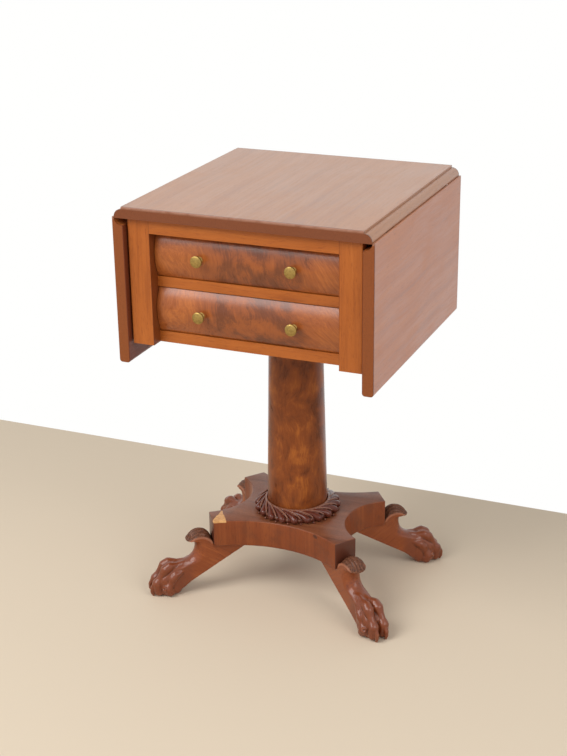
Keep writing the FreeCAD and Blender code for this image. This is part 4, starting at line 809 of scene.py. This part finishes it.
# Drawers
# Each front swells forward and is veneered with flame-figured mahogany, polished bright. The sides are
# dovetailed into it, the back stands between them and the thin bottom is grooved in, all of bare wood.
LEAN_LEVEL = 600 * MM
HEART_PLACE = 15 * MM
DRAWER_FIGURE = 1.5
drawer_finish, tree, shader, place = begin("drawer_veneer")
axes = node(tree, "SeparateXYZ", {0: place}).outputs
lean = between(tree, axes["X"], 0.0, 130 * MM, 0.12, 0.85)
lean = maths(tree, "MULTIPLY", maths(tree, "SUBTRACT", axes["Z"], LEAN_LEVEL), lean)
swept = node(tree, "CombineXYZ", {"X": maths(tree, "ADD", axes["X"], lean), "Y": axes["Y"], "Z": axes["Z"]})
swept = node(tree, "VectorMath", {0: swept.outputs[0], "Scale": DRAWER_FIGURE}, operation="SCALE").outputs[0]
off_heart = maths(tree, "ABSOLUTE", maths(tree, "SUBTRACT", axes["X"], HEART_PLACE))
heart = between(tree, off_heart, 50 * MM, 120 * MM, 0.10, -0.06)
cloud = between(tree, off_heart, 30 * MM, 110 * MM, 0.65, 0.3)
feathers = between(tree, off_heart, 30 * MM, 110 * MM, 0.5, 0.75)
veneer = placed(tree, figured, {
    "Place": swept, "Swirl": 0.10, "Cloud": cloud, "Streak": feathers, "Shade": heart,
    "Light": colour(0.44, 0.128, 0.024), "Middle": colour(0.31, 0.080, 0.016),
    "Dark": colour(0.16, 0.042, 0.012)})
surface(
    tree, shader, veneer["Colour"], veneer["Roughness"], veneer["Height"], depth=0.05 * MM, polish=0.7,
    polish_rough=0.3, gleam=LOW_GLEAM)
for level in ("upper", "lower"):
    dress(drawer_finish, f"{level}_drawer_front")
    dress(bare_deep, f"{level}_drawer_left_side", f"{level}_drawer_right_side")
    dress(bare_across, f"{level}_drawer_back", f"{level}_drawer_bottom")

# Knobs
# Small turned knobs of brass gone dull and olive, each with a low domed head on a short neck and a round
# foot. Their threaded posts go through the drawer fronts to a nut inside.
KNOB_APART = 160 * MM
KNOB_SIDES = 48
# The outline of a knob is (radius, out from the drawer front), in mm
knob_outline = [
    (0, 0), (5.6, 0), (5.6, 0.9), (4.8, 1.7), (3.9, 2.6), (3.6, 4.2), (3.6, 8.2), (4.6, 9.4), (7.4, 10.2),
    (9.2, 10.5), (9.65, 10.9), (9.75, 11.5), (9.75, 13.6), (9.55, 14.3), (9.0, 14.7), (7.5, 15.1),
    (5.0, 15.5), (2.5, 15.8), (0, 15.9),
]
knob_finish, tree, shader, place = begin("dull_brass")
tarnish = noise(tree, place, 260.0, 4.0, 0.6)
tone = mixed(tree, between(tree, tarnish, 0.35, 0.70), colour(0.40, 0.27, 0.085), colour(0.29, 0.195, 0.062))
tree.links.new(tone, shader.inputs["Base Color"])
tree.links.new(between(tree, tarnish, 0.3, 0.7, 0.42, 0.62), shader.inputs["Roughness"])
bump = node(tree, "Bump", {"Height": noise(tree, place, 1500.0, 3.0), "Strength": 0.5, "Distance": 0.05 * MM})
tree.links.new(bump.outputs["Normal"], shader.inputs["Normal"])
shader.inputs["Metallic"].default_value = 1.0
for level in ("upper", "lower"):
    front_low, front_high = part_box(f"{level}_drawer_front")
    bm = bmesh.new()
    turned_piece(bm, [(radius * MM, height * MM) for radius, height in knob_outline], KNOB_SIDES)
    bmesh.ops.rotate(bm, cent=(0, 0, 0), matrix=Matrix.Rotation(math.pi / 2, 3, "X"), verts=bm.verts)
    middle = Vector((-KNOB_APART / 2, front_low.y, (front_low.z + front_high.z) / 2))
    bmesh.ops.translate(bm, verts=bm.verts, vec=middle)
    other = bmesh.ops.duplicate(bm, geom=bm.verts[:] + bm.edges[:] + bm.faces[:])["geom"]
    bmesh.ops.translate(bm, verts=[part for part in other if isinstance(part, bmesh.types.BMVert)],
                        vec=(KNOB_APART, 0, 0))
    settle(
        f"{level}_brass_knobs", bm, knob_finish, [f"{level}_drawer_knobs"], f"{level}_drawer")
    dress(knob_finish, f"{level}_drawer_knob_nuts")

# Hinges and screws
# Wrought table hinges let in flush under the rule joints, their pins, and the countersunk screws of the
# hinges, cleat and top, all of dark iron with a little rust.
iron_finish, tree, shader, place = begin("dark_iron")
rust = noise(tree, place, 180.0, 4.0, 0.65)
tone = mixed(tree, between(tree, rust, 0.45, 0.70), colour(0.16, 0.145, 0.13), colour(0.17, 0.085, 0.045))
tree.links.new(tone, shader.inputs["Base Color"])
tree.links.new(between(tree, rust, 0.3, 0.7, 0.40, 0.75), shader.inputs["Roughness"])
tree.links.new(between(tree, rust, 0.70, 0.45, 0.2, 0.9), shader.inputs["Metallic"])
bump = node(tree, "Bump", {"Height": noise(tree, place, 900.0, 3.0), "Strength": 0.5, "Distance": 0.08 * MM})
tree.links.new(bump.outputs["Normal"], shader.inputs["Normal"])
dress(iron_finish, "fly_pins", "cleat_screws", "top_screws")
for side in ("left", "right"):
    dress(iron_finish, f"{side}_hinge_top_plates", f"{side}_hinge_leaf_plates", f"{side}_hinge_pins",
          f"{side}_top_plate_screws", f"{side}_leaf_plate_screws")

# Leaves and top
# Solid boards of paler, faded mahogany with their grain from front to back, joined by rule joints. The sawn
# ends are darker, and the upper arrises are pale: wear from dusting, with a painted highlight along them.
top_low, top_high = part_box("top_board")
board_end = top_high.y
leaf_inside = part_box("right_leaf")[0].x


def faded_finish(name, colours, ends, shift, polish, arris_level):
    """Faded mahogany board with grain along Y, dark sawn ends, an upper arris made pale by wear and a painted
    highlight, and scuffed paler patches.
    """
    finish, tree, shader, place = begin(name)
    turned = node(tree, "Mapping", {"Vector": place, "Rotation": ALONG_Y, "Location": shift})
    light, middle, dark = colours
    wood = placed(tree, plain_grain, {
        "Place": turned.outputs["Vector"], "Light": light, "Middle": middle, "Dark": dark})
    axes = node(tree, "SeparateXYZ", {0: place}).outputs
    depth = maths(tree, "ABSOLUTE", axes["Y"])
    scuff = between(tree, noise(tree, place, 14.0, 5.0, 0.65), 0.5, 0.72, 0.0, 0.35)
    tone = mixed(tree, scuff, wood["Colour"], light)
    broken = noise(tree, place, 45.0, 4.0, 0.65)
    dark_line = between(tree, depth, board_end - 3.4 * MM, board_end - 2.0 * MM, 0.0, 0.9)
    dark_line = maths(tree, "MULTIPLY", dark_line, between(tree, broken, 0.3, 0.6, 0.5, 1.0))
    tone = mixed(tree, dark_line, tone, colour(0.10, 0.03, 0.014))
    end_face = between(tree, depth, board_end - 0.9 * MM, board_end - 0.4 * MM)
    lighter = colour(*(1.5 * part for part in ends[:3]))
    end_grain = mixed(tree, between(tree, wood["Height"], -0.4, 0.3), ends, lighter)
    tone = mixed(tree, end_face, tone, end_grain)
    # Paler along the upper arris of the end: wear, with a painted highlight.
    arris_wear_and_highlight = between(tree, axes["Z"], arris_level - 5.0 * MM, arris_level - 2.0 * MM)
    near_end = between(tree, depth, board_end - 1.2 * MM, board_end - 0.7 * MM)
    arris_wear_and_highlight = maths(tree, "MULTIPLY", arris_wear_and_highlight, near_end)
    arris_wear_and_highlight = maths(tree, "MULTIPLY", arris_wear_and_highlight, between(tree, broken, 0.3, 0.6, 0.35, 0.85))
    tone = mixed(tree, arris_wear_and_highlight, tone, colour(0.36, 0.18, 0.12))
    # The leaf's inner face under the top, and a thin strip of its end beside it, are painted dark: painted
    # shade and a painted shadow line.
    inside = maths(tree, "ABSOLUTE", axes["X"])
    inside = between(tree, inside, leaf_inside + 1.4 * MM, leaf_inside + 0.8 * MM)
    below_top = between(tree, axes["Z"], top_low.z - 6 * MM, top_low.z - 10 * MM)
    inside = maths(tree, "MULTIPLY", inside, below_top)
    tone = mixed(tree, inside, tone, colour(0.15, 0.034, 0.012))
    rough = maths(tree, "ADD", wood["Roughness"], maths(tree, "MULTIPLY", scuff, 0.2))
    bare = maths(tree, "MAXIMUM", end_face, inside)
    polish_left = between(tree, bare, 0.0, 1.0, polish, 0.05)
    surface(
        tree, shader, tone, rough, wood["Height"], depth=0.1 * MM, polish=polish_left, polish_rough=0.3)
    return finish


top_colours = (colour(0.43, 0.195, 0.092), colour(0.38, 0.160, 0.068), colour(0.30, 0.110, 0.040))
top_finish = faded_finish(
    "top_wood", top_colours, ends=colour(0.13, 0.037, 0.013), shift=(0, 0, 0), polish=0.7,
    arris_level=top_high.z)
dress(top_finish, "top_board")
leaf_colours = (colour(0.44, 0.139, 0.038), colour(0.39, 0.109, 0.024), colour(0.31, 0.078, 0.015))
for number, side in enumerate(("left", "right")):
    shift = (0.4 + 0.3 * number, 0.2, 0)
    leaf_finish = faded_finish(
        f"{side}_leaf_wood", leaf_colours, ends=colour(0.165, 0.043, 0.009), shift=shift, polish=0.5,
        arris_level=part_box(f"{side}_leaf")[1].z)
    dress(leaf_finish, f"{side}_leaf")

# Studio
# A pale floor, soft lamps and an even sky. The white wall behind is there only for the camera and for
# reflections, and only from in front.
WALL_BEHIND = 0.42
STAGE_SIZE = 8.0
SKY_STRENGTH = 0.48


def in_sight(tree):
    """1 for what the camera sees straight, in a reflection or through glass, and 0 for light on the table."""
    path = node(tree, "LightPath").outputs
    seen = maths(tree, "MAXIMUM", path["Is Camera Ray"], path["Is Glossy Ray"])
    return maths(tree, "MAXIMUM", seen, path["Is Transmission Ray"])


floor_finish, tree, shader, place = begin("studio_floor")
shader.inputs["Base Color"].default_value = colour(0.70, 0.59, 0.45)
shader.inputs["Roughness"].default_value = 0.7
bm = bmesh.new()
bmesh.ops.create_grid(bm, x_segments=1, y_segments=1, size=STAGE_SIZE / 2)
floor = stood("studio_floor", bm, floor_finish)

wall_finish, tree, shader, place = begin("studio_wall")
tree.nodes.remove(shader)
facing = maths(tree, "SUBTRACT", 1.0, node(tree, "NewGeometry").outputs["Backfacing"])
shown = node(tree, "MixShader", {
    0: maths(tree, "MULTIPLY", in_sight(tree), facing),
    1: node(tree, "BsdfTransparent").outputs[0],
    2: node(tree, "Emission", {"Color": colour(1.0, 1.0, 0.99), "Strength": 1.0}).outputs[0]})
tree.links.new(shown.outputs[0], tree.nodes["Material Output"].inputs["Surface"])
bm = bmesh.new()
bmesh.ops.create_grid(bm, x_segments=1, y_segments=1, size=STAGE_SIZE / 2)
bmesh.ops.rotate(bm, cent=(0, 0, 0), matrix=Matrix.Rotation(math.pi / 2, 3, "X"), verts=bm.verts)
bmesh.ops.translate(bm, verts=bm.verts, vec=(0, WALL_BEHIND, STAGE_SIZE / 2))
wall = stood("studio_wall", bm, wall_finish)

sky = bpy.data.worlds.new("studio_sky")
bpy.context.scene.world = sky
sky.use_nodes = True
tree = sky.node_tree
strength = between(tree, in_sight(tree), 0.0, 1.0, SKY_STRENGTH, 1.0)
tree.links.new(strength, tree.nodes["Background"].inputs["Strength"])
tree.nodes["Background"].inputs["Color"].default_value = colour(1.0, 1.0, 1.0)


def lamp(name, spot, aim, size, power):
    """A square soft lamp."""
    light = bpy.data.lights.new(name, "AREA")
    light.size = size
    light.energy = power
    made = bpy.data.objects.new(name, light)
    made.location = spot
    made.rotation_euler = (Vector(aim) - Vector(spot)).to_track_quat("-Z", "Y").to_euler()
    bpy.context.scene.collection.objects.link(made)


lamp("key_lamp", spot=(-1.3, -2.0, 2.6), aim=(0, 0, 0.45), size=2.0, power=75)
lamp("fill_lamp", spot=(2.4, -1.2, 1.9), aim=(0, 0, 0.45), size=1.6, power=28)

# Camera
# It stands a little to the right of the table and above it, level with a standing viewer's chest.
AZIMUTH = math.radians(23.187)
ELEVATION = math.radians(21.527)
ROLL = math.radians(-0.826)
CAMERA_PLACE = Vector((0.9160, -2.1947, 1.3253))
FOCAL_PIXELS = 1471.6
FRAME_HIGH = 756
SENSOR = 36
view = bpy.data.cameras.new("camera")
view.sensor_width = SENSOR
view.lens = SENSOR * FOCAL_PIXELS / FRAME_HIGH
camera = bpy.data.objects.new("camera", view)
back = Vector((math.sin(AZIMUTH) * math.cos(ELEVATION), -math.cos(AZIMUTH) * math.cos(ELEVATION),
               math.sin(ELEVATION)))
right = Vector((0, 0, 1)).cross(back).normalized()
up = back.cross(right)
facing = Matrix((right, up, back)).transposed() @ Matrix.Rotation(ROLL, 3, "Z")
camera.matrix_world = Matrix.LocRotScale(CAMERA_PLACE, facing, None)
bpy.context.scene.collection.objects.link(camera)
bpy.context.scene.camera = camera
bpy.context.scene.view_settings.view_transform = "Standard"
